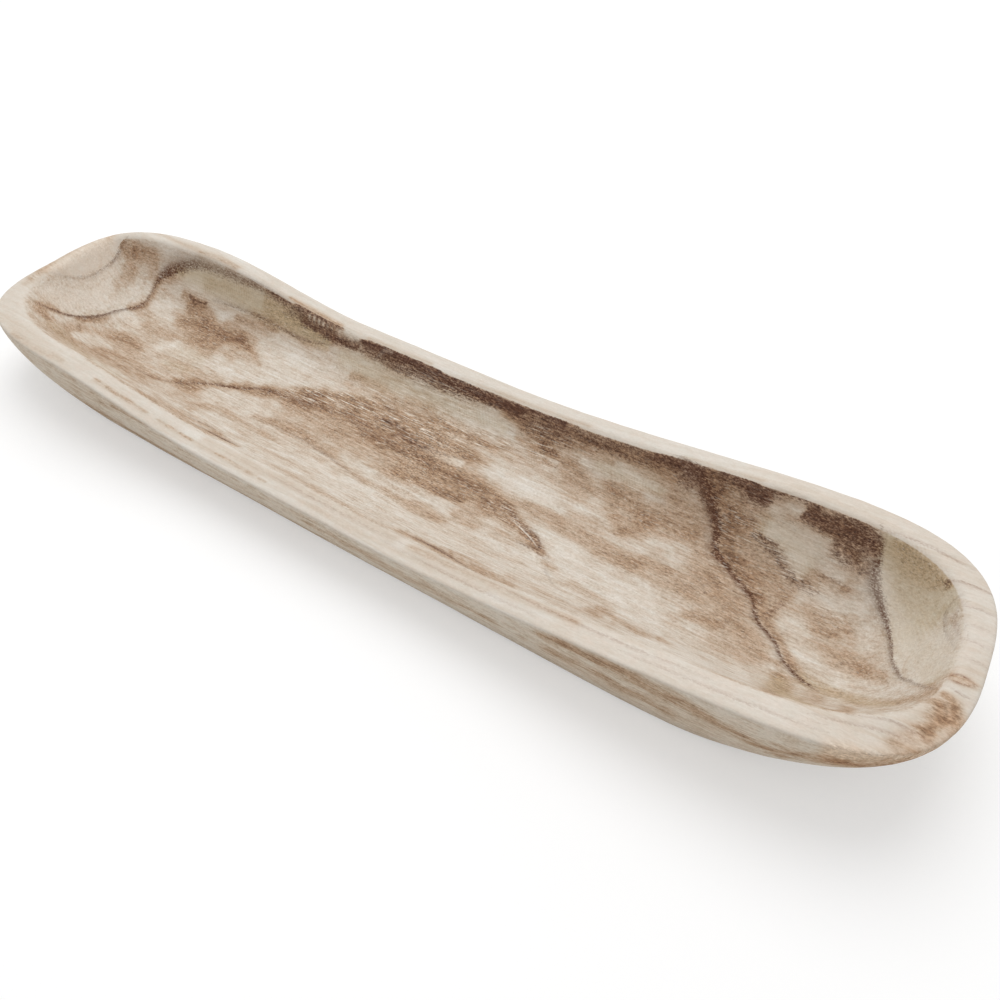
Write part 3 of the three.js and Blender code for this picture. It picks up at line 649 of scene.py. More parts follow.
PALE_CLOUDS = [
    (0.40, 2.5, [(-344, 42, 5), (-342, 20, 6), (-340, 2, 6)]),
    (0.60, 2.5, [(-336, 44, 4), (-336, 24, 5), (-337, 4, 4)]),
    (0.75, 2.5, [(-327, 30, 4), (-322, 14, 7), (-323, -4, 8), (-329, -22, 6)]),
    (0.45, 2.2, [(-309, 38, 4), (-311, 22, 4), (-315, 6, 4)]),
    (0.85, 2.5, [(-312, 65, 2), (-306, 66, 2.4), (-296, 67, 2.6), (-284, 68.6, 2.4),
                 (-268, 69.8, 1.8)]),
    (0.50, 2.0, [(-288, 37, 5), (-279, 39, 5)]),
    (0.45, 2.2, [(-302, 14, 4), (-294, 14, 6), (-286, 10, 5)]),
    (0.35, 2.2, [(-304, 46, 3), (-303, 40, 3)]),
    (0.80, 2.0, [(-10, 60, 4), (-1, 60, 5), (8, 60, 4)]),
    (0.40, 2.0, [(282, 54, 4), (290, 51, 4), (294, 46, 3)]),
    (0.30, 2.0, [(196, 16, 5), (206, 15, 5)]),
    (0.60, 2.0, [(-275, 60.4, 3), (-258, 60.6, 3)]),
    (0.55, 2.0, [(-250, 1, 4), (-242, 8, 6)]),
    (0.35, 2.4, [(-164, 49, 4), (-148, 46, 6), (-132, 47, 6)]),
    (0.20, 2.4, [(-170, 34, 8), (-150, 32, 8), (-132, 33, 6)]),
    (0.85, 2.5, [(-112, 69.6, 1.4), (-106, 70, 2.2), (-100, 71.4, 2.4)]),
    (0.45, 2.4, [(50, 31, 5), (70, 29, 6), (88, 27, 6)]),
    (0.50, 2.4, [(101, 2, 3), (116, -1, 5), (132, -5, 5)]),
    (0.40, 2.4, [(158, -14, 6), (172, -12, 9), (182, -10, 6)]),
    (0.80, 2.2, [(203, -61, 4), (212, -62, 5), (221, -62, 4)]),
    (0.25, 2.2, [(-86, -52, 3), (-50, -52, 3), (-5, -52, 3)]),
    (0.30, 2.2, [(-8, 18, 1.8), (8, 18, 2), (18, 18, 1.8)]),
    (0.30, 2.2, [(-96, 28.6, 2), (-84, 26, 2.4)]),
    (0.45, 2.2, [(-4, 51, 3), (-2, 47, 2.4)]),
    (0.55, 2.4, [(196, -62, 5), (214, -46, 8), (226, -50, 8), (216, -60, 8)]),
    (0.45, 2.4, [(244, -30, 5), (249, -40, 5), (248, -52, 5)]),
    (0.25, 2.4, [(-60, -36, 6), (-30, -36, 6), (30, -38, 6), (70, -42, 6)]),
    (0.60, 2.6, [(21, 28, 1.4), (22.5, 25, 2), (23, 22, 2)]),
    (0.45, 3.0, [(20, 51, 0.9), (38, 50.5, 0.9)]),
    (0.50, 3.0, [(70, 54.8, 0.9), (82, 54.5, 1.0)]),
    (0.70, 2.4, [(226, 61.6, 2.6), (238, 60.4, 3), (250, 57, 5)]),
    (0.55, 2.2, [(257, 43, 4), (270, 43, 4), (289, 42, 3)]),
    (0.35, 2.2, [(266, 55, 3), (272, 54, 3)]),
    (0.35, 2.2, [(261, 23, 5), (268, 5, 6)]),
    (0.35, 2.2, [(300, 22, 4), (297, 30, 4)]),
    (0.35, 2.2, [(296, 4, 5), (300, -4, 5)]),
    (0.20, 2.2, [(174, 10, 5), (184, 10, 5)]),
    (0.40, 2.0, [(-136, -11, 5), (-124, -11, 4)]),
    (0.90, 2.5, [(289, 56, 2), (297, 50, 3), (305, 42, 4), (312, 34, 4.4), (318, 22, 5.4),
                 (323, 9, 5), (326, -4, 4)]),
    (0.85, 2.5, [(322, 26, 4), (329, 18, 5), (332, 6, 5), (330, -2, 4)]),
    (0.30, 2.0, [(200, -48, 6), (194, -56, 5)]),
    (0.25, 2.0, [(-193, -50, 5), (-188, -57, 4)]),
    (0.50, 3.0, [(120, 64, 1.2), (134, 62.5, 1.6), (150, 61.5, 1.4)]),
    (0.40, 3.0, [(-80, 66.8, 0.8), (-74, 69.6, 0.8), (-68, 69.6, 0.7)]),
]

RUST_CLOUDS = [
    (0.35, 2.0, [(336, -25, 5), (338, -34, 7), (336, -46, 7), (330, -58, 6)]),
    (0.95, 2.0, [(348, -34, 4), (346, -48, 5), (338, -60, 6), (322, -72, 6), (300, -80, 5)]),
    (0.35, 2.0, [(336, -11, 4), (342, -11, 4)]),
    (0.40, 2.2, [(-166, 73, 2), (-150, 73, 2.4), (-118, 73, 2)]),
    (0.12, 3.0, [(210, 78, 12), (290, 72, 14), (338, 48, 12), (342, 0, 12)]),
    (0.14, 3.0, [(160, -78, 10), (220, -74, 10), (300, -70, 12)]),
    (0.30, 2.4, [(-334, 40, 5), (-327, 22, 8), (-324, 2, 9), (-328, -22, 8), (-318, -40, 7)]),
    (0.50, 2.4, [(-338, 46, 5), (-340, 28, 7), (-341, 8, 7), (-344, -10, 6)]),
]

# Where long pale hairs of torn wood lie on the hollow
HAIR_CLOUDS = [
    (1.0, 2.0, [(-126, 22, 8), (-95, 32, 14), (-55, 38, 17), (-12, 38, 15), (18, 44, 8)]),
    (0.9, 2.0, [(-60, 60, 5), (-20, 61, 6), (10, 61, 6), (30, 58, 6)]),
    (0.9, 2.0, [(24, 50, 7), (55, 52, 7), (84, 50, 5)]),
    (0.8, 2.0, [(60, 62, 5), (90, 60, 5), (140, 60, 5)]),
    (0.7, 2.0, [(62, 6, 5), (86, 0, 7), (108, -9, 5)]),
    (0.8, 2.0, [(202, 60, 6), (222, 58, 8), (244, 53, 9), (266, 46, 9), (280, 34, 6)]),
    (0.6, 2.0, [(-296, 52, 5), (-286, 46, 6)]),
    (0.5, 2.0, [(-320, -44, 6), (-290, -54, 6), (-240, -60, 5), (-190, -64, 4)]),
]

# Lines of late wood: each point is x, y, half width and strength. A line is crisp on its right
# as it runs, and shades off on its left. Lines that lie near each other are in different sets.
RING_LINES = [
    [(-300, 44, 0.9, 0.4), (-300, 50, 1.2, 0.8), (-297, 55, 1.9, 1.0), (-291, 59, 2.2, 1.0),
     (-282, 62.6, 2.0, 0.95), (-271, 65.4, 1.6, 0.75), (-258, 67, 1.3, 0.6),
     (-240, 67.8, 1.3, 0.5), (-220, 68.4, 1.3, 0.5), (-200, 69.2, 1.3, 0.5),
     (-182, 69.8, 1.4, 0.5), (-170, 70, 1.3, 0.3)],
    [(286, -17, 0.8, 0.2), (281, -14.5, 1.0, 0.7), (274, -12, 1.2, 0.9), (267, -8, 1.2, 0.85),
     (261, -3, 1.2, 0.75), (258, 1, 1.3, 0.8), (254, 5, 1.4, 0.9), (249, 8, 1.4, 0.9),
     (244, 10.5, 1.4, 0.95), (240, 15, 1.5, 1.0), (237, 20, 1.5, 0.95), (234.5, 25, 1.5, 1.0),
     (230, 28, 1.7, 1.0), (224, 31, 1.7, 1.0), (217, 35, 1.8, 1.0), (210, 39.5, 2.0, 1.0),
     (203, 43, 2.2, 1.0), (199, 48, 2.4, 1.0), (196, 55, 2.6, 1.0), (191, 60, 2.6, 1.0),
     (184, 64.5, 2.4, 1.0), (176, 68, 2.0, 1.0), (166, 70.6, 1.6, 0.7), (158, 71.6, 1.2, 0.3)],
    [(331, -20, 0.5, 0.2), (327, -11, 0.6, 0.4), (323, -3.5, 0.7, 0.5), (319, 2, 0.7, 0.6),
     (315, 10, 0.8, 0.6), (312.5, 16, 0.8, 0.65), (310.5, 23, 0.9, 0.7), (308, 30, 1.0, 0.75),
     (305, 35.5, 1.1, 0.8), (301, 41, 1.4, 0.9), (296.5, 46, 1.7, 0.95), (291, 52, 2.0, 1.0),
     (287, 57, 2.2, 1.0), (284.5, 61, 1.8, 0.6), (283, 63, 1.2, 0.1)],
    [(-20, 14.3, 0.8, 0.1), (-2, 11.5, 0.9, 0.15), (16, 10.5, 0.9, 0.2), (28, 10, 0.9, 0.25),
     (40, 9.5, 0.9, 0.35), (48, 8, 0.9, 0.45), (56, 5.8, 0.9, 0.5), (61, 4, 0.9, 0.5),
     (66, 1, 0.9, 0.4), (69, -1, 0.8, 0.1)],
    [(90, -13, 0.8, 0.1), (95, -13.5, 1.0, 0.35), (105, -13.5, 1.0, 0.4),
     (111, -15.5, 0.9, 0.3), (117, -17, 0.7, 0.1)],
    [(-132, -61.5, 0.7, 0.1), (-120, -60.4, 0.9, 0.75), (-108, -59, 0.9, 0.75),
     (-96, -58.6, 0.7, 0.1)],
    [(40, -60, 0.7, 0.2), (52, -59.5, 0.9, 0.6), (62, -59.8, 1.1, 0.85), (72, -61, 1.1, 0.85),
     (82, -63.5, 1.0, 0.6), (93, -66.5, 0.7, 0.2)],
    [(-238, -30, 1.0, 0.1), (-222, -31, 1.1, 0.3), (-212, -27.6, 1.2, 0.35),
     (-200, -19, 1.3, 0.45), (-190, -12.5, 1.3, 0.65), (-180, -7, 1.2, 0.7),
     (-170, -3, 1.1, 0.8), (-162, 0, 1.1, 0.75), (-155, 4, 1.3, 0.7), (-148, 8.5, 1.4, 0.6),
     (-138, 10.5, 1.3, 0.5), (-126, 12, 1.2, 0.35), (-112, 15, 1.0, 0.1)],
]
VEIN_LINES = [
    [(-299, 46, 0.8, 0.2), (-299.5, 40, 0.9, 0.5), (-298.5, 34, 1.2, 0.6),
     (-300, 26, 1.4, 0.8), (-304, 18, 1.0, 0.7), (-307, 10, 0.9, 0.65), (-309, 2, 0.9, 0.75),
     (-311, -6, 1.1, 0.85), (-313, -14, 1.2, 0.85), (-315.5, -22, 1.1, 0.75),
     (-318.5, -30, 1.2, 0.7), (-322, -37, 1.0, 0.4), (-325, -40, 0.9, 0.1)],
    [(68, 7, 1.4, 0.2), (73, 7.5, 1.6, 0.5), (79, 4, 1.3, 0.5), (86, 1.5, 1.1, 0.4),
     (92, 0, 1.2, 0.5), (98, -1.5, 1.2, 0.6), (103, -5, 1.2, 0.65), (107, -9.5, 1.1, 0.5),
     (112, -12, 0.9, 0.3), (116, -15, 0.7, 0.1)],
    [(117, -20, 0.8, 0.1), (120, -25, 0.9, 0.2), (126, -31, 0.9, 0.15), (132, -36, 0.8, 0.05)],
    [(-130, -17.6, 0.8, 0.1), (-100, -17.2, 0.8, 0.2), (-82, -17.6, 0.8, 0.3),
     (-66, -19.4, 0.9, 0.35), (-50, -21.4, 0.8, 0.3), (-35, -24.4, 0.8, 0.25),
     (-18, -27.4, 0.7, 0.1)],
    [(-242, 58, 0.7, 0.2), (-215, 59.5, 0.8, 0.4), (-190, 60.5, 0.8, 0.4),
     (-160, 59.5, 0.8, 0.5), (-145, 60, 0.8, 0.45), (-132, 62, 0.8, 0.4), (-120, 64, 0.7, 0.1)],
    [(-148, -56, 0.7, 0.1), (-138, -55.5, 0.8, 0.4), (-130, -54, 0.8, 0.4),
     (-122, -53.5, 0.7, 0.1)],
    [(243, 19, 0.7, 0.1), (247, 23, 0.7, 0.3), (250, 28, 0.7, 0.25), (252, 35, 0.6, 0.1)],
    [(-329, 55, 0.7, 0.2), (-330, 44, 0.8, 0.5), (-330, 30, 0.8, 0.36), (-330, 16, 0.8, 0.3),
     (-332, 6, 0.8, 0.2), (-335, -3, 0.8, 0.15), (-339, -10, 0.7, 0.1)],
    [(328, 43, 0.6, 0.1), (325, 38.5, 0.6, 0.2), (325, 35, 0.6, 0.25), (327, 28, 0.6, 0.25),
     (331, 16, 0.6, 0.2), (333, 9, 0.6, 0.1)],
    [(270, 44, 0.8, 0.1), (262, 46, 1.2, 0.2), (250, 47.6, 1.6, 0.3), (242, 52, 1.8, 0.3),
     (232, 56.4, 1.6, 0.3), (224, 58, 1.2, 0.2), (218, 59.6, 0.8, 0.1)],
]

# Neighbours in this set run opposite ways, so that no false line comes in between them.
GRAIN_LINES = [
    [(284, 67, 0.8, 0.1), (300, 65.5, 0.9, 0.3), (318, 62.5, 0.9, 0.3), (330, 60, 0.8, 0.1)],
    [(346, 48.5, 0.8, 0.1), (337, 49.5, 0.9, 0.3), (328, 49.5, 0.9, 0.4), (320, 48.5, 0.8, 0.2)],
    [(332, 35, 0.8, 0.2), (340, 35.5, 0.8, 0.25), (349, 35, 0.8, 0.15)],
    [(349, 24, 0.8, 0.1), (341, 24.5, 0.8, 0.15), (335, 24, 0.8, 0.1)],
    [(336, 14, 0.8, 0.2), (342, 13.8, 0.8, 0.2), (349, 13, 0.8, 0.15)],
    [(349, 2, 0.8, 0.1), (343, 2.6, 0.8, 0.2), (336, 3, 0.8, 0.1)],
    [(334, -10.4, 0.5, 0.2), (337, -9, 0.6, 0.6), (341, -9.2, 0.6, 0.6), (345, -10.6, 0.5, 0.2)],
    [(346, -12.8, 0.5, 0.1), (341, -13.6, 0.6, 0.5), (337, -13.8, 0.6, 0.6),
     (334, -12.6, 0.5, 0.2)],
    [(335, -18, 0.5, 0.1), (340, -19.5, 0.6, 0.4), (346, -20, 0.5, 0.1)],
    [(337, -52, 0.8, 0.2), (326, -51.3, 0.9, 0.35), (316, -51, 0.9, 0.3), (300, -57, 0.8, 0.1)],
    [(286, -66, 0.8, 0.1), (304, -61.5, 0.9, 0.25), (318, -57.5, 0.9, 0.25),
     (330, -57, 0.8, 0.1)],
    [(236, -71.6, 0.8, 0.1), (190, -72.6, 0.9, 0.25), (150, -71.5, 0.9, 0.25),
     (110, -70, 0.8, 0.1)],
    [(196, -77, 0.8, 0.1), (250, -76, 0.9, 0.2), (292, -72.8, 0.8, 0.1)],
    [(40, -76.5, 0.8, 0.1), (90, -77.4, 0.9, 0.2), (140, -78.2, 0.8, 0.1)],
    [(50, -72.2, 0.8, 0.1), (-10, -72.6, 0.9, 0.2), (-60, -72, 0.8, 0.1)],
    # the small round of rings at the top of the end wall
    [(334, 14, 0.6, 0.1), (332.4, 18, 0.6, 0.25), (330.4, 25, 0.6, 0.25),
     (328.6, 32, 0.6, 0.2), (329, 37, 0.6, 0.1)],
]

# Pale torn strips beside the crack in the middle of the floor
TORN_LINES = [
    [(78, 1, 0.4, 0.1), (86, -1, 0.5, 0.5), (96, -5, 0.5, 0.6), (106, -11, 0.4, 0.1)],
    [(112, -21, 0.4, 0.1), (108, -18, 0.6, 0.4), (104, -14, 0.4, 0.1)],
]

LINE_SETS = {"ring": RING_LINES, "vein": VEIN_LINES, "grain": GRAIN_LINES, "torn": TORN_LINES}

# Rows of short strokes that lie side by side: strength, where the first and the last stroke
# start, the way each runs, their half width and their count
STROKE_ROWS = [
    (0.16, (-326, -37), (-236, -36), (34, -15), 1.3, 13),
    (0.14, (-300, -46), (-200, -42), (36, -16), 1.3, 13),
    (0.14, (-240, -34), (-180, -34), (30, -16), 1.3, 8),
    (0.22, (66, -52), (112, -56), (9, -11), 1.1, 9),
    (0.18, (40, -55), (70, -56), (8, -9), 1.1, 6),
    (0.14, (158, -36), (200, -38), (6, -14), 1.1, 9),
    (0.16, (-160, -50), (-128, -48), (14, -9), 1.1, 6),
    (0.35, (-206, -77.2), (-182, -77.6), (8, -0.3), 1.0, 4),
    (0.35, (-148, -77), (-124, -76.5), (6, -0.3), 1.0, 4),
    (0.28, (-97, -77), (-62, -77.5), (9, -0.4), 1.0, 5),
]
# How much a stroke in a row may differ from the others: its start, length, bend and strength
STROKE_SCATTER = (3.0, 0.75)
STROKE_LENGTHS = (0.6, 1.1)
STROKE_BENDS = (-0.08, 0.08)
STROKE_STRENGTHS = (0.6, 1.1)
STROKE_EDGE = 2.5

# Clouds on the outer front wall, laid out by x and height
WALL_CLOUDS = [
    (0.45, 2.0, [(-262, 14, 4), (-220, 13, 5), (-170, 12, 5), (-110, 11, 4)]),
    (0.30, 2.0, [(-110, 12, 3), (-60, 12, 3), (0, 13, 3)]),
    (0.30, 2.0, [(-20, 30, 3), (30, 28, 4), (80, 27, 4), (120, 30, 3)]),
    (0.42, 2.0, [(150, 44, 4), (185, 48, 5), (215, 48, 5), (241, 46, 5), (262, 42, 4),
                 (284, 36, 3)]),
    (0.25, 2.0, [(150, 28, 4), (190, 30, 5), (230, 28, 5)]),
    (0.40, 2.0, [(284, 46, 4), (296, 50, 5), (306, 52, 5)]),
    (0.52, 2.0, [(306, 50, 5), (322, 52, 8), (336, 54, 8), (345, 54, 8)]),
]

# In half widths: how far from its path a cloud and a line still count, where a line fades out,
# and the offset of points that are far off every line
CLOUD_REACH = 3
LINE_REACH = 7
LINE_FADES = (4, 6.5)
FAR_OFF = 9.0

# Where the carving's edge rides up onto the back rim, at most this far
EDGE_RISE = 2.4
EDGE_CLOUDS = [
    (1.0, 2.2, [(-158, 72, 5), (-134, 72, 6), (-108, 70, 5)]),
    (0.8, 2.4, [(-90, 72, 5), (-48, 72, 6), (-24, 72, 5)]),
    (0.6, 2.4, [(22, 72, 5), (60, 72, 6), (84, 72, 5)]),
    (0.5, 2.4, [(150, 72, 5), (172, 72, 6), (206, 70, 5)]),
]

# How far the edge between rim and hollow is followed, how much it is blurred at the front, and
# where that sets in, in millimetres from the middle line
EDGE_FOLLOWED = 12.0
FRONT_SOFTNESS = 0.75
SOFT_FRONT = (5, 45)

# The smooth face of end grain that takes the rim's finish at the far end: where it lies, how
# much smoother and paler than the rim it is, and how far it pushes the hollow's edge away
END_FACE = [
    (1.0, 8.0, [(-345, 50, 13), (-345, 30, 13.5), (-345, 12, 13), (-345, -2, 9), (-345, -12, 5)]),
]
FACE_SMOOTHER = 0.3
FACE_PALER = 0.2
FACE_PUSH = 24.0

# The pale bars in the small nicks on the back wall
BAR_STRENGTH = 0.8
BAR_EDGE = 2.2
BAR_STEP = (0.3, 0.1)
BAR_HALF_WIDTH = 0.9

# Noise that leads the strokes a little off their drawn place, along and across the tray, and
# how far, in millimetres
WANDER = (dict(size=(16, 8, 8), seed=71, layers=3), dict(size=(20, 7, 7), seed=79, layers=3))
CLOUD_WANDER = (2.2, 0.8)
WALL_WANDER = (2.0, 1.0)
SWAY = (dict(size=(22, 16, 16), seed=87, layers=2), dict(size=(22, 16, 16), seed=91, layers=2))
LINE_SWAY = 0.7

# The wood's tones under the strokes, and how far its own clouding moves them
CLOUDING = dict(size=(60, 18, 18), seed=83, layers=3)
BOARD_GRAIN = dict(size=(150, 22, 22), seed=97, layers=3)
WALL_TONE, WALL_CLOUDED = 0.06, 0.32
HEART_TONE, HEART_CLOUDED = 0.18, 0.08
RIM_TONE, RIM_CLOUDED = 0.09, 0.09
PALEST_CLOUD = -0.8
WALL_FRONT = (0, 30)

# How far pale patches lift the brown under them, and dark ones deepen it
PALE_LIFTS = 0.8
DARK_DEEPENS = 0.6


def smooth_path(path, steps=5):
    """A curve through the points of a path, cut into short pieces."""
    path = np.array(path, float)
    padded = np.vstack([2 * path[0] - path[1], path, 2 * path[-1] - path[-2]])
    t = np.linspace(0, 1, steps, endpoint=False)[:, None]
    pieces = []
    for before, start, end, after in zip(padded, padded[1:], padded[2:], padded[3:]):
        pieces.append(
            start + t / 2 * (
                end - before
                + t * (2 * before - 5 * start + 4 * end - after)
                + t * t * (3 * (start - end) + after - before)
            )
        )
    return np.vstack([*pieces, path[-1:]])


def nearest_on_path(plan, path, reach):
    """For the points within reach of a path: their numbers, how far off they are over the
    path's half width there, and the path's values there. It is negative on the right."""
    low, high = path[:, :2].min(axis=0) - reach, path[:, :2].max(axis=0) + reach
    nearby = np.flatnonzero(((plan > low) & (plan < high)).all(axis=1))
    points = plan[nearby]
    offset = np.full(len(points), 99.0)
    values = np.zeros((len(points), path.shape[1] - 2))
    for start, end in zip(path[:-1], path[1:]):
        step = end[:2] - start[:2]
        t = np.clip((points - start[:2]) @ step / max(step @ step, 1e-9), 0, 1)
        away = points - start[:2] - t[:, None] * step
        here = start[2:] + t[:, None] * (end[2:] - start[2:])
        side = np.where(step[0] * away[:, 1] - step[1] * away[:, 0] < 0, -1, 1)
        distance = side * np.linalg.norm(away, axis=1) / here[:, 0]
        closer = np.abs(distance) < np.abs(offset)
        offset = np.where(closer, distance, offset)
        values[closer] = here[closer]
    return nearby, offset, values


def lay_clouds(plan, clouds):
    """Clouds of one tone laid over each other, each one filling what the others leave."""
    left = np.ones(len(plan))
    for strength, edge, path in clouds:
        curve = smooth_path(path)
        nearby, offset, _ = nearest_on_path(plan, curve, CLOUD_REACH * curve[:, 2].max())
        left[nearby] *= 1 - strength * np.exp(-np.abs(offset) ** edge)
    return 1 - left


def lay_lines(plan, lines):
    """How far each point is from the nearest line, over its half width, and its strength."""
    offset = np.full(len(plan), FAR_OFF)
    strength = np.zeros(len(plan))
    for line in lines:
        curve = smooth_path(line)
        nearby, distance, values = nearest_on_path(plan, curve, LINE_REACH * curve[:, 2].max())
        closer = np.abs(distance) < np.abs(offset[nearby])
        chosen = nearby[closer]
        offset[chosen] = distance[closer]
        fade = 1 - smoothstep(np.abs(distance[closer]), *LINE_FADES)
        strength[chosen] = values[closer, 1] * fade
    return np.clip(offset, -FAR_OFF, FAR_OFF), strength


def over(*layers):
    """Tones laid over each other, each one filling what the others leave."""
    left = 1.0
    for layer in layers:
        left = left * (1 - layer)
    return 1 - left


def stroke_row(strength, first, last, run, half_width, count, random):
    """A row of short strokes as clouds, each a little out of line."""
    clouds = []
    for share in np.linspace(0, 1, count):
        start = np.array(first) + share * (np.array(last) - np.array(first))
        start += random.uniform(-1, 1, 2) * STROKE_SCATTER
        length = random.uniform(*STROKE_LENGTHS)
        bend = random.uniform(*STROKE_BENDS)
        path = []
        for t in (0, 0.5, 1):
            x = start[0] + run[0] * length * t
            y = start[1] + run[1] * length * (t + bend * t * (1 - t))
            path.append((x, y, half_width * (0.7 + t * (1 - t))))
        clouds.append((strength * random.uniform(*STROKE_STRENGTHS), STROKE_EDGE, path))
    return clouds


def paint_figure(rows, stretches):
    """The wood's tones at every point, from 0 to 1, and its lines, by name."""
    points = rows.reshape(-1, 3)
    places = points[:, :2]
    wander = np.stack([lumps(points, kind) for kind in WANDER], axis=1)
    sway = np.stack([lumps(points, kind) for kind in SWAY], axis=1)
    plan = places + wander * CLOUD_WANDER
    line_plan = places + sway * LINE_SWAY
    wall_plan = points[:, [0, 2]] + wander * WALL_WANDER

    def on(*names):
        share = stretch_weights(stretches, names, 1)
        return np.broadcast_to(share, rows.shape[:2]).ravel()

    top = on("rim", "inner_edge", "hollow", "outer_edge")
    random = np.random.default_rng(17)
    row_clouds = [cloud for row in STROKE_ROWS for cloud in stroke_row(*row, random)]
    strokes = lay_clouds(line_plan, row_clouds)
    face = lay_clouds(places + sway, END_FACE)

    lengths = np.linalg.norm(np.diff(rows, axis=0), axis=2)
    run = np.vstack([np.zeros(STATIONS), np.cumsum(lengths, axis=0)])
    corner = np.flatnonzero(stretches == "inner_edge")[INNER_EDGE_ROWS // 2]
    below_edge = np.clip(run - run[corner], -EDGE_FOLLOWED, EDGE_FOLLOWED).ravel()
    below_edge *= 1 - FRONT_SOFTNESS * smoothstep(-points[:, 1], *SOFT_FRONT)
    below_edge += EDGE_RISE * lay_clouds(places, EDGE_CLOUDS) - FACE_PUSH * face

    clouding = lumps(points, CLOUDING)
    board = np.clip(lumps(points, BOARD_GRAIN), 0, 1)
    front = smoothstep(-points[:, 1], *WALL_FRONT)
    outside = over(WALL_TONE + WALL_CLOUDED * board, lay_clouds(wall_plan, WALL_CLOUDS) * front)
    rim = RIM_TONE + RIM_CLOUDED * np.clip(clouding, PALEST_CLOUD, 1)
    rim = over(rim * (1 - FACE_SMOOTHER * face), lay_clouds(plan, RIM_CLOUDS), strokes)
    heart = HEART_TONE + HEART_CLOUDED * clouding
    heart = np.clip(over(heart, lay_clouds(plan, HEART_CLOUDS), strokes), 0, 1)

    step_x, step_y = BAR_STEP
    bar_clouds = []
    for x, fade in zip(CHATTER_X, CHATTER_FADE):
        bar = [(x + side * step_x, CHATTER_Y + side * step_y, BAR_HALF_WIDTH) for side in (-1, 1)]
        bar_clouds.append((BAR_STRENGTH * fade, BAR_EDGE, bar))
    bars = lay_clouds(line_plan, bar_clouds) * top
    pale = over(lay_clouds(plan, PALE_CLOUDS) * top, FACE_PALER * face, bars)
    dark = lay_clouds(plan, DARK_CLOUDS) * top * (1 - bars)
    tones = {
        "heart": over(heart * (1 - PALE_LIFTS * pale), DARK_DEEPENS * dark),
        "rim_tone": np.clip(rim * top + outside * (1 - top), 0, 1),
        "dark": dark,
        "rust": lay_clouds(plan, RUST_CLOUDS),
        "hair": lay_clouds(plan, HAIR_CLOUDS) * top,
        "olive": lay_clouds(plan, OLIVE_CLOUDS) * top,
        "pale": pale,
        "outside": on("wall", "foot"),
        "below_edge": np.where(top > 0.5, below_edge, -EDGE_FOLLOWED),
    }
    for name, lines in LINE_SETS.items():
        offset, strength = lay_lines(line_plan, lines)
        tones[name + "_offset"] = offset
        tones[name + "_strength"] = strength * top
    return tones


def build_tray():
    rows, stretches = tray_rows()
    tones = paint_figure(rows, stretches)
    carved = carve(rows, stretches)
    mesh = bpy.data.meshes.new("carved_body")
    mesh.from_pydata((carved.reshape(-1, 3) * MM).tolist(), [], row_faces(len(rows)))
    mesh.update()
    mesh.shade_smooth()
    for name, values in tones.items():
        layer = mesh.attributes.new(name, "FLOAT", "POINT")
        layer.data.foreach_set("value", values.astype(np.float32))
    tray = bpy.data.objects.new("carved_body", mesh)
    bpy.context.scene.collection.objects.link(tray)
    return tray


# Materials

MIX_FACTOR, MIX_A, MIX_B, MIX_COLOUR = 0, 6, 7, 2


def add_node(tree, kind, inputs=None, **settings):
    """A node with its settings, and its inputs linked or set, by name or by number."""
    made = tree.nodes.new(kind)
    for name, value in settings.items():
        setattr(made, name, value)
    for name, value in (inputs or {}).items():
        if isinstance(value, bpy.types.NodeSocket):
            tree.links.new(value, made.inputs[name])
        else:
            made.inputs[name].default_value = value
    return made


def calc(tree, operation, *values):
    return add_node(
        tree, "ShaderNodeMath", dict(enumerate(values)), operation=operation
    ).outputs[0]


def highest(tree, value, *others):
    for other in others:
        value = calc(tree, "MAXIMUM", value, other)
    return value


def weighted(tree, parts, weights, rest=0.0):
    """The sum of named parts times their weights, on top of a rest."""
    for name, weight in weights.items():
        rest = calc(tree, "MULTIPLY_ADD", parts[name], weight, rest)
    return rest


def ramp_value(tree, value, low, high, to_low=0.0, to_high=1.0):
    """value from low to high, eased, as to_low to to_high."""
    inputs = {
        "Value": value, "From Min": low, "From Max": high, "To Min": to_low, "To Max": to_high,
    }
    return add_node(
        tree, "ShaderNodeMapRange", inputs, interpolation_type="SMOOTHSTEP"
    ).outputs[0]


def mix_value(tree, factor, first, second):
    inputs = {0: factor, 2: first, 3: second}
    return add_node(tree, "ShaderNodeMix", inputs, data_type="FLOAT").outputs[0]


def mix_colour(tree, factor, first, second, blend="MIX"):
    inputs = {MIX_FACTOR: factor, MIX_A: first, MIX_B: second}
    return add_node(
        tree, "ShaderNodeMix", inputs, data_type="RGBA", blend_type=blend
    ).outputs[MIX_COLOUR]


def attribute(tree, name):
    return add_node(tree, "ShaderNodeAttribute", attribute_name=name).outputs["Fac"]


def centred(tree, value):
    return calc(tree, "SUBTRACT", value, 0.5)


def srgb(red, green, blue):
    """A linear colour for Blender from the usual 0 to 255 values."""
    linear = []
    for value in (red, green, blue):
        share = value / 255
        linear.append(share / 12.92 if share <= 0.04045 else ((share + 0.055) / 1.055) ** 2.4)
    return (*linear, 1.0)


def new_group(name, inputs, outputs):
    """A shader node group with named number inputs and outputs: the group, its in and out."""
    group = bpy.data.node_groups.new(name, "ShaderNodeTree")
    for label, value in inputs.items():
        socket = group.interface.new_socket(label, in_out="INPUT", socket_type="NodeSocketFloat")
        socket.default_value = value
    for label in outputs:
        group.interface.new_socket(label, in_out="OUTPUT", socket_type="NodeSocketFloat")
    return group, group.nodes.new("NodeGroupInput").outputs, group.nodes.new("NodeGroupOutput")


def link_outputs(group, output, values):
    for name, value in values.items():
        group.links.new(value, output.inputs[name])


def use_group(tree, group, inputs=None):
    return add_node(tree, "ShaderNodeGroup", inputs, node_tree=group).outputs


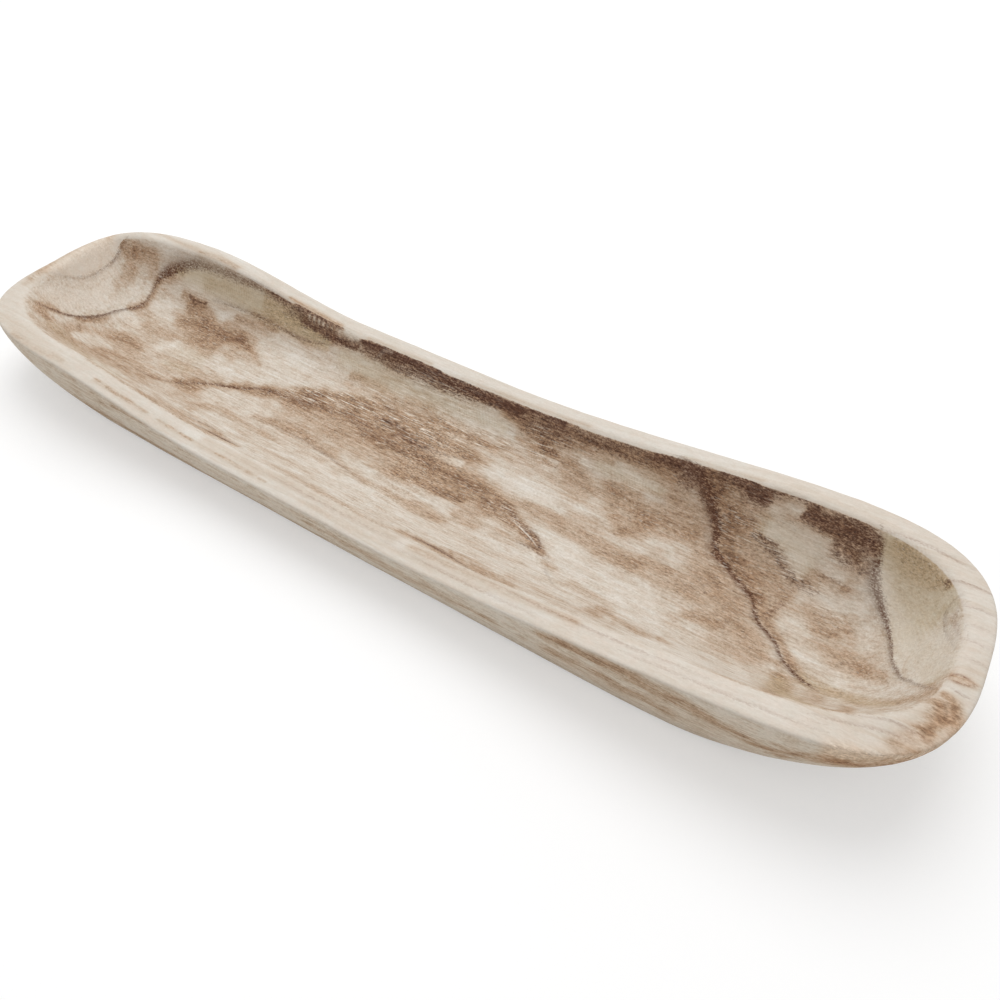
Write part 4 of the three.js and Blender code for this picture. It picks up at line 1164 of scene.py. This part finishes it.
def tray_coordinates(tree):
    """The point on the tray in its own frame, as one vector in millimetres."""
    place = add_node(tree, "ShaderNodeTexCoord").outputs["Object"]
    return add_node(
        tree, "ShaderNodeVectorMath", {0: place, "Scale": 1 / MM}, operation="SCALE"
    ).outputs[0]


def stretched_noise(tree, point, length, width, detail=2.0, distortion=0.0, roughness=0.5):
    """Noise whose lumps run along the grain. length and width are in millimetres."""
    across = calc(tree, "DIVIDE", 1.0, width)
    along = calc(tree, "DIVIDE", 1.0, length)
    scale = add_node(tree, "ShaderNodeCombineXYZ", {"X": along, "Y": across, "Z": across})
    scaled = add_node(
        tree, "ShaderNodeVectorMath", {0: point, 1: scale.outputs[0]}, operation="MULTIPLY"
    ).outputs[0]
    inputs = {
        "Vector": scaled, "Scale": 1.0, "Detail": detail, "Distortion": distortion,
        "Roughness": roughness,
    }
    return add_node(tree, "ShaderNodeTexNoise", inputs).outputs["Fac"]


# Noises in the wood: length along the grain and width across it in millimetres, then detail,
# distortion and roughness
MOTTLE = (13.0, 6.0, 4.0)
STREAKS = (48.0, 2.8, 3.0)
HUE_DRIFT = (6.0, 3.5, 3.0)
HAIRS = (13.0, 0.9, 1.0, 0.7)
FUZZ = (2.9, 1.6, 4.0, 0.0, 0.85)
GRIT = (1.5, 0.8, 1.0)
PORES = (3.6, 0.7, 0.0)
RING_SWAY = (160.0, 60.0, 1.0)
RING_RIPPLE = (45.0, 14.0, 2.0)
SCRAPE_BEND = (30.0, 20.0, 1.0)
SCRAPE_PATCHES = (34.0, 14.0, 1.0)

# Where a noise starts to show as a mark, and where it is one in full
FLECK_START = (0.55, 0.68)
HAIR_START = (0.56, 0.68)
PORE_START = (0.62, 0.72)
SCRAPE_START = (0.42, 0.62)

# A growth ring from one edge to the next: its late wood darkens slowly, then ends at once
RING_DARKENS = (0.45, 0.93)
RING_ENDS = (0.93, 1.0, 1.0, 0.0)

# A line of late wood, in half widths from its middle, with its strength at each end: the crisp
# side, the core and the shade
LINE_CRISP = (-1.5, -0.2)
LINE_CORE = (0.0, 2.0, 0.58, 0.0)
LINE_SHADE = (0.0, 4.2, 0.34, 0.0)


def growth_rings_group():
    """Rings round the pith, which runs along the tray: a thin late line, and each ring's tone."""
    group, given, output = new_group(
        "growth_rings",
        {"Pith Y": 15.0, "Pith Z": 60.0, "Spacing": 7.0, "Wobble": 5.0, "Sway": 26.0},
        ["Line", "Tone"],
    )
    point = tray_coordinates(group)
    place = add_node(group, "ShaderNodeSeparateXYZ", {0: point}).outputs
    sway = centred(group, stretched_noise(group, point, *RING_SWAY))
    ripple = centred(group, stretched_noise(group, point, *RING_RIPPLE))
    across = calc(group, "SUBTRACT", place["Y"], given["Pith Y"])
    across = calc(group, "MULTIPLY_ADD", sway, given["Sway"], across)
    above = calc(group, "SUBTRACT", place["Z"], given["Pith Z"])
    square = calc(group, "MULTIPLY", across, across)
    radius = calc(group, "SQRT", calc(group, "MULTIPLY_ADD", above, above, square))
    radius = calc(group, "MULTIPLY_ADD", ripple, given["Wobble"], radius)
    turns = calc(group, "DIVIDE", radius, given["Spacing"])
    share = calc(group, "FRACT", turns)
    ring = {"W": calc(group, "FLOOR", turns)}
    tone = add_node(
        group, "ShaderNodeTexWhiteNoise", ring, noise_dimensions="1D"
    ).outputs["Value"]
    late = calc(
        group,
        "MULTIPLY",
        ramp_value(group, share, *RING_DARKENS),
        ramp_value(group, share, *RING_ENDS),
    )
    link_outputs(group, output, {"Line": calc(group, "MULTIPLY", late, tone), "Tone": tone})
    return group


def wood_fibres_group():
    """Fibres along the grain, the short pale flecks of torn ones, fuzz and open pores."""
    group, given, output = new_group(
        "wood_fibres",
        {"Fibre Length": 12.0, "Fibre Width": 1.4, "Fleck Length": 4.5, "Fleck Width": 1.0},
        ["Fibres", "Flecks", "Hairs", "Fuzz", "Grit", "Pores"],
    )
    point = tray_coordinates(group)
    fibres = stretched_noise(
        group, point, given["Fibre Length"], given["Fibre Width"], 3.0, 0.3
    )
    flecks = stretched_noise(
        group, point, given["Fleck Length"], given["Fleck Width"], 2.0, 0.6
    )
    hairs = stretched_noise(group, point, *HAIRS)
    pores = stretched_noise(group, point, *PORES)
    link_outputs(group, output, {
        "Fibres": fibres,
        "Flecks": ramp_value(group, flecks, *FLECK_START),
        "Hairs": ramp_value(group, hairs, *HAIR_START),
        "Fuzz": stretched_noise(group, point, *FUZZ),
        "Grit": stretched_noise(group, point, *GRIT),
        "Pores": ramp_value(group, pores, *PORE_START),
    })
    return group


def late_wood_group():
    """A line of late wood from a point's offset to it: crisp on one side, shaded on the other."""
    group, given, output = new_group(
        "late_wood", {"Offset": FAR_OFF, "Strength": 0.0, "Fray": 0.0}, ["Line"]
    )
    offset = calc(group, "ADD", given["Offset"], given["Fray"])
    crisp = ramp_value(group, offset, *LINE_CRISP)
    core = ramp_value(group, offset, *LINE_CORE)
    shade = ramp_value(group, offset, *LINE_SHADE)
    line = calc(group, "MULTIPLY", crisp, calc(group, "ADD", core, shade))
    link_outputs(group, output, {"Line": calc(group, "MULTIPLY", line, given["Strength"])})
    return group


def scraper_marks_group():
    """Fine ripples that a scraper leaves slantwise across the grain, in patches."""
    group, given, output = new_group(
        "scraper_marks", {"Pitch": 2.2, "Slant": 0.7, "Bend": 9.0}, ["Height"]
    )
    point = tray_coordinates(group)
    place = add_node(group, "ShaderNodeSeparateXYZ", {0: point}).outputs
    bend = stretched_noise(group, point, *SCRAPE_BEND)
    phase = calc(group, "MULTIPLY_ADD", place["Y"], given["Slant"], place["X"])
    phase = calc(group, "MULTIPLY_ADD", bend, given["Bend"], phase)
    turns = calc(group, "DIVIDE", phase, given["Pitch"])
    wave = calc(group, "SINE", calc(group, "MULTIPLY", turns, 2 * math.pi))
    patch = ramp_value(group, stretched_noise(group, point, *SCRAPE_PATCHES), *SCRAPE_START)
    link_outputs(group, output, {"Height": calc(group, "MULTIPLY", wave, patch)})
    return group


WOOD_TONES = [
    (0.00, srgb(224, 218, 210)),
    (0.20, srgb(210, 198, 184)),
    (0.40, srgb(190, 168, 147)),
    (0.60, srgb(168, 140, 115)),
    (0.80, srgb(142, 112, 88)),
    (1.00, srgb(115, 85, 66)),
]
DARK_HEART = srgb(94, 63, 50)
LATE_WOOD = srgb(98, 66, 48)
RIM_LATE_WOOD = srgb(136, 96, 74)
LINE_TONES = {"ring": LATE_WOOD, "vein": LATE_WOOD, "grain": RIM_LATE_WOOD}
OLIVE_CAST = srgb(192, 177, 144)
PALE_CHIP = srgb(230, 220, 206)
# A warm tint that also darkens the outer walls and foot a little: partly their warmer tone,
# partly painted shade.
WALL_TINT_AND_PAINTED_SHADE = srgb(255, 248, 238)
RUST = srgb(255, 238, 222)
COOL_CAST = srgb(250, 255, 255)
WARM_CAST = srgb(255, 249, 246)

# How far each noise darkens the wood's tone, and that in full on the outer walls, where it is
# stronger, and on the smooth rim, where it is weaker
GRAIN = {"mottle": 0.40, "streaks": 0.30, "fibres": 0.28, "specks": 0.32}
SPECKS = {"fibres": 0.3, "grit": 0.5}
WALL_GRAIN = 0.6
RIM_GRAIN = 0.30
FINE_TONES = {"ripple": 0.09, "ring_lines": 0.07, "ring_tones": 0.04}

# Where the hollow's finish sets in, in millimetres below its edge, and the noise in that edge
FINISH_START = (-1.0, 0.2)
FINISH_FUZZ = 1.4
BROWN_RIM = (0.2, 0.4)

# The figure's layers: how much of each one shows, and how the noises fray it
OLIVE_SHARE = 0.62
PALE_SHARE = 0.35
HAIR_SHARE = 0.85
STRIP_SHARE = 1.4
LINE_FUZZ = 1.8
LINE_DOTS = 2.4
DARK_FRAY = {"fibres": 0.4, "fuzz": 1.9, "grit": 0.8}
DARK_SHOWS = (0.0, 1.1)
DARK_START = (0.02, 0.4)
FLECKS_ON_BROWN = (0.2, 0.6, 0.0, 0.34)
FLECKS_ON_DARK = (0.1, 0.6, 1.0, 0.25)

# How much a speck darkens the colour, from pale wood to brown, and its share on the rim
SPECKLE = (0.15, 0.8, -0.36, -2.0)
SPECKLE_ON_RIM = 0.4
SPECKLE_ON_RUST = 0.6

ROUGHNESS = (0.3, 0.7, 0.64, 0.82)
SPECULAR = 0.18
RELIEF = {"fibres": 0.16, "fuzz": 0.16, "pores": -0.10, "ripple": 0.06}
RELIEF_STRENGTH = 0.6


def tone_colour(tree, tone):
    """The wood's own colour, from pale sapwood to brown heartwood."""
    tones = add_node(tree, "ShaderNodeValToRGB", {"Fac": tone})
    ramp = tones.color_ramp
    ramp.elements[0].position, ramp.elements[0].color = WOOD_TONES[0]
    ramp.elements[1].position, ramp.elements[1].color = WOOD_TONES[-1]
    for position, colour in WOOD_TONES[1:-1]:
        ramp.elements.new(position).color = colour
    return tones.outputs["Color"]


def carved_wood_material():
    material = bpy.data.materials.new("carved_wood")
    material.use_nodes = True
    tree = material.node_tree
    shader = tree.nodes["Principled BSDF"]
    rings = use_group(tree, growth_rings_group())
    fibres = use_group(tree, wood_fibres_group())
    marks = use_group(tree, scraper_marks_group())
    late_wood = late_wood_group()
    point = tray_coordinates(tree)
    outside = attribute(tree, "outside")
    rust = attribute(tree, "rust")
    olive = attribute(tree, "olive")
    rim_tone = attribute(tree, "rim_tone")
    parts = {
        "mottle": centred(tree, stretched_noise(tree, point, *MOTTLE)),
        "streaks": centred(tree, stretched_noise(tree, point, *STREAKS)),
        "fibres": centred(tree, fibres["Fibres"]),
        "fuzz": centred(tree, fibres["Fuzz"]),
        "grit": centred(tree, fibres["Grit"]),
        "pores": fibres["Pores"],
        "ripple": calc(tree, "MULTIPLY", marks["Height"], olive),
        "ring_lines": rings["Line"],
        "ring_tones": centred(tree, rings["Tone"]),
    }
    fuzz = parts["fuzz"]
    specks = parts["specks"] = weighted(tree, parts, SPECKS, fuzz)

    edge = calc(tree, "MULTIPLY_ADD", fuzz, FINISH_FUZZ, attribute(tree, "below_edge"))
    inside = ramp_value(tree, edge, *FINISH_START)
    rough = highest(tree, outside, inside, rust, ramp_value(tree, rim_tone, *BROWN_RIM))

    grain = weighted(tree, parts, GRAIN)
    grain = calc(tree, "MULTIPLY", grain, calc(tree, "MULTIPLY_ADD", outside, WALL_GRAIN, 1.0))
    tone = mix_value(tree, inside, rim_tone, attribute(tree, "heart"))
    grain_share = ramp_value(tree, rough, 0.0, 1.0, RIM_GRAIN, 1.0)
    tone = calc(tree, "MULTIPLY_ADD", grain, grain_share, tone)
    tone = weighted(tree, parts, FINE_TONES, tone)

    colour = tone_colour(tree, tone)
    # Painted shade: the outer walls and foot are multiplied by a warm tint that is a little
    # darker.
    colour = mix_colour(tree, outside, colour, WALL_TINT_AND_PAINTED_SHADE, "MULTIPLY")
    colour = mix_colour(tree, rust, colour, RUST, "MULTIPLY")
    drift = stretched_noise(tree, point, *HUE_DRIFT)
    cast = mix_colour(tree, drift, COOL_CAST, WARM_CAST)
    colour = mix_colour(tree, 1.0, colour, cast, "MULTIPLY")
    olive_share = calc(tree, "MULTIPLY", calc(tree, "MULTIPLY", olive, inside), OLIVE_SHARE)
    colour = mix_colour(tree, olive_share, colour, OLIVE_CAST)

    fray = calc(tree, "MULTIPLY_ADD", fuzz, LINE_FUZZ, parts["grit"])
    dots = calc(tree, "MULTIPLY_ADD", calc(tree, "ADD", fuzz, parts["grit"]), LINE_DOTS, 1.0)
    lines = {
        name: use_group(tree, late_wood, {
            "Offset": attribute(tree, name + "_offset"),
            "Strength": attribute(tree, name + "_strength"),
            "Fray": fray,
        })["Line"]
        for name in LINE_SETS
    }
    for name, line_tone in LINE_TONES.items():
        colour = mix_colour(tree, calc(tree, "MULTIPLY", lines[name], dots), colour, line_tone)

    dark = calc(tree, "MULTIPLY", attribute(tree, "dark"), inside)
    frayed = ramp_value(tree, weighted(tree, parts, DARK_FRAY, dark), *DARK_SHOWS)
    frayed = calc(tree, "MULTIPLY", frayed, ramp_value(tree, dark, *DARK_START))
    colour = mix_colour(tree, frayed, colour, DARK_HEART)

    flecks = calc(tree, "MULTIPLY", fibres["Flecks"], ramp_value(tree, tone, *FLECKS_ON_BROWN))
    flecks = calc(tree, "MULTIPLY", flecks, ramp_value(tree, dark, *FLECKS_ON_DARK))
    hairs = calc(tree, "MULTIPLY", fibres["Hairs"], attribute(tree, "hair"))
    hairs = calc(tree, "MULTIPLY", hairs, HAIR_SHARE)
    strips = calc(tree, "MULTIPLY", lines["torn"], STRIP_SHARE)
    torn = calc(tree, "MULTIPLY", highest(tree, flecks, hairs, strips), inside)
    colour = mix_colour(tree, torn, colour, PALE_CHIP)
    pale = calc(tree, "MULTIPLY", attribute(tree, "pale"), PALE_SHARE)
    colour = mix_colour(tree, pale, colour, PALE_CHIP)

    browned = highest(tree, tone, dark, calc(tree, "MULTIPLY", rust, SPECKLE_ON_RUST))
    speckle = ramp_value(tree, browned, *SPECKLE)
    speckle_share = ramp_value(tree, rough, 0.0, 1.0, SPECKLE_ON_RIM, 1.0)
    speckle = calc(tree, "MULTIPLY", speckle, speckle_share)
    speckle = calc(tree, "MULTIPLY_ADD", specks, speckle, 1.0)
    colour = add_node(
        tree, "ShaderNodeVectorMath", {0: colour, "Scale": speckle}, operation="SCALE"
    ).outputs[0]
    tree.links.new(colour, shader.inputs["Base Color"])

    roughness = ramp_value(tree, fibres["Fibres"], *ROUGHNESS)
    tree.links.new(roughness, shader.inputs["Roughness"])
    shader.inputs["Specular IOR Level"].default_value = SPECULAR
    relief = {
        "Height": weighted(tree, parts, RELIEF), "Strength": RELIEF_STRENGTH, "Distance": MM,
    }
    bump = add_node(tree, "ShaderNodeBump", relief)
    tree.links.new(bump.outputs["Normal"], shader.inputs["Normal"])
    return material


# Floor, light and camera, in metres, degrees and watts. The lens is in millimetres.

FLOOR_SIZE = 12.0
FLOOR_DROP = 0.0002
FLOOR_TONE = (0.66, 0.66, 0.66, 1)
FLOOR_GLOW = 0.36
WHITE = (1, 1, 1, 1)
SKY_LIGHT = 0.66
LAMP_PLACE = Vector((-0.35, 0.75, 1.9))
LAMP_SIZE = 1.8
LAMP_WATTS = 21.0
CAMERA_LENS = 30.6
CAMERA_SENSOR = 36.0
CAMERA_PITCH = 47.66
CAMERA_YAW = 32.82
CAMERA_AIM = Vector((0.0784, -0.0119, 0.0400))
CAMERA_DISTANCE = 0.5200


def seen_directly(tree):
    """1 where the camera looks, straight or by a glossy bounce, and 0 for falling light."""
    rays = add_node(tree, "ShaderNodeLightPath").outputs
    kinds = ("Is Camera Ray", "Is Glossy Ray", "Is Transmission Ray")
    return highest(tree, *(rays[kind] for kind in kinds))


def show_mixed(tree, lighting, shown, output_kind):
    """One shader for the light that things get, and another for what the camera sees."""
    mixed = add_node(
        tree, "ShaderNodeMixShader", {0: seen_directly(tree), 1: lighting, 2: shown}
    )
    output = tree.nodes.new(output_kind)
    tree.links.new(mixed.outputs[0], output.inputs["Surface"])


def floor_material():
    """A pale floor that the camera sees as white, and that still takes the tray's shadow."""
    material = bpy.data.materials.new("pale_floor")
    material.use_nodes = True
    tree = material.node_tree
    tree.nodes.clear()
    matt = add_node(tree, "ShaderNodeBsdfDiffuse", {"Color": FLOOR_TONE}).outputs[0]
    glow = add_node(tree, "ShaderNodeEmission", {"Color": WHITE, "Strength": FLOOR_GLOW})
    lifted = add_node(tree, "ShaderNodeAddShader", {0: matt, 1: glow.outputs[0]}).outputs[0]
    show_mixed(tree, matt, lifted, "ShaderNodeOutputMaterial")
    return material


def build_floor():
    half = FLOOR_SIZE / 2
    corners = [(-half, -half), (half, -half), (half, half), (-half, half)]
    mesh = bpy.data.meshes.new("floor")
    mesh.from_pydata([(x, y, -FLOOR_DROP) for x, y in corners], [], [(0, 1, 2, 3)])
    floor = bpy.data.objects.new("floor", mesh)
    bpy.context.scene.collection.objects.link(floor)
    mesh.materials.append(floor_material())


def build_sky():
    world = bpy.data.worlds.new("studio")
    bpy.context.scene.world = world
    world.use_nodes = True
    tree = world.node_tree
    tree.nodes.clear()
    soft, white = (
        add_node(tree, "ShaderNodeBackground", {"Color": WHITE, "Strength": strength}).outputs[0]
        for strength in (SKY_LIGHT, 1.0)
    )
    show_mixed(tree, soft, white, "ShaderNodeOutputWorld")


def build_lamp():
    data = bpy.data.lights.new("overhead", "AREA")
    data.shape = "DISK"
    data.size = LAMP_SIZE
    data.energy = LAMP_WATTS
    lamp = bpy.data.objects.new("overhead", data)
    lamp.location = LAMP_PLACE
    lamp.rotation_euler = (-LAMP_PLACE).to_track_quat("-Z", "Y").to_euler()
    bpy.context.scene.collection.objects.link(lamp)


def build_camera():
    data = bpy.data.cameras.new("camera")
    data.lens = CAMERA_LENS
    data.sensor_width = CAMERA_SENSOR
    yaw, pitch = math.radians(CAMERA_YAW), math.radians(CAMERA_PITCH)
    right = Vector((math.cos(yaw), math.sin(yaw), 0))
    level = Vector((-math.sin(yaw), math.cos(yaw), 0))
    upright = Vector((0, 0, 1))
    up = level * math.sin(pitch) + upright * math.cos(pitch)
    forward = level * math.cos(pitch) - upright * math.sin(pitch)
    turn = Matrix((right, up, -forward)).transposed().to_4x4()
    camera = bpy.data.objects.new("camera", data)
    camera.matrix_world = Matrix.Translation(CAMERA_AIM - forward * CAMERA_DISTANCE) @ turn
    bpy.context.scene.collection.objects.link(camera)
    bpy.context.scene.camera = camera


bpy.context.scene.view_settings.view_transform = "Standard"
build_camera()
build_sky()
build_floor()
build_lamp()

tray = build_tray()
tray.data.materials.append(carved_wood_material())
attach(tray, "root")
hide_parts("carved_tray")
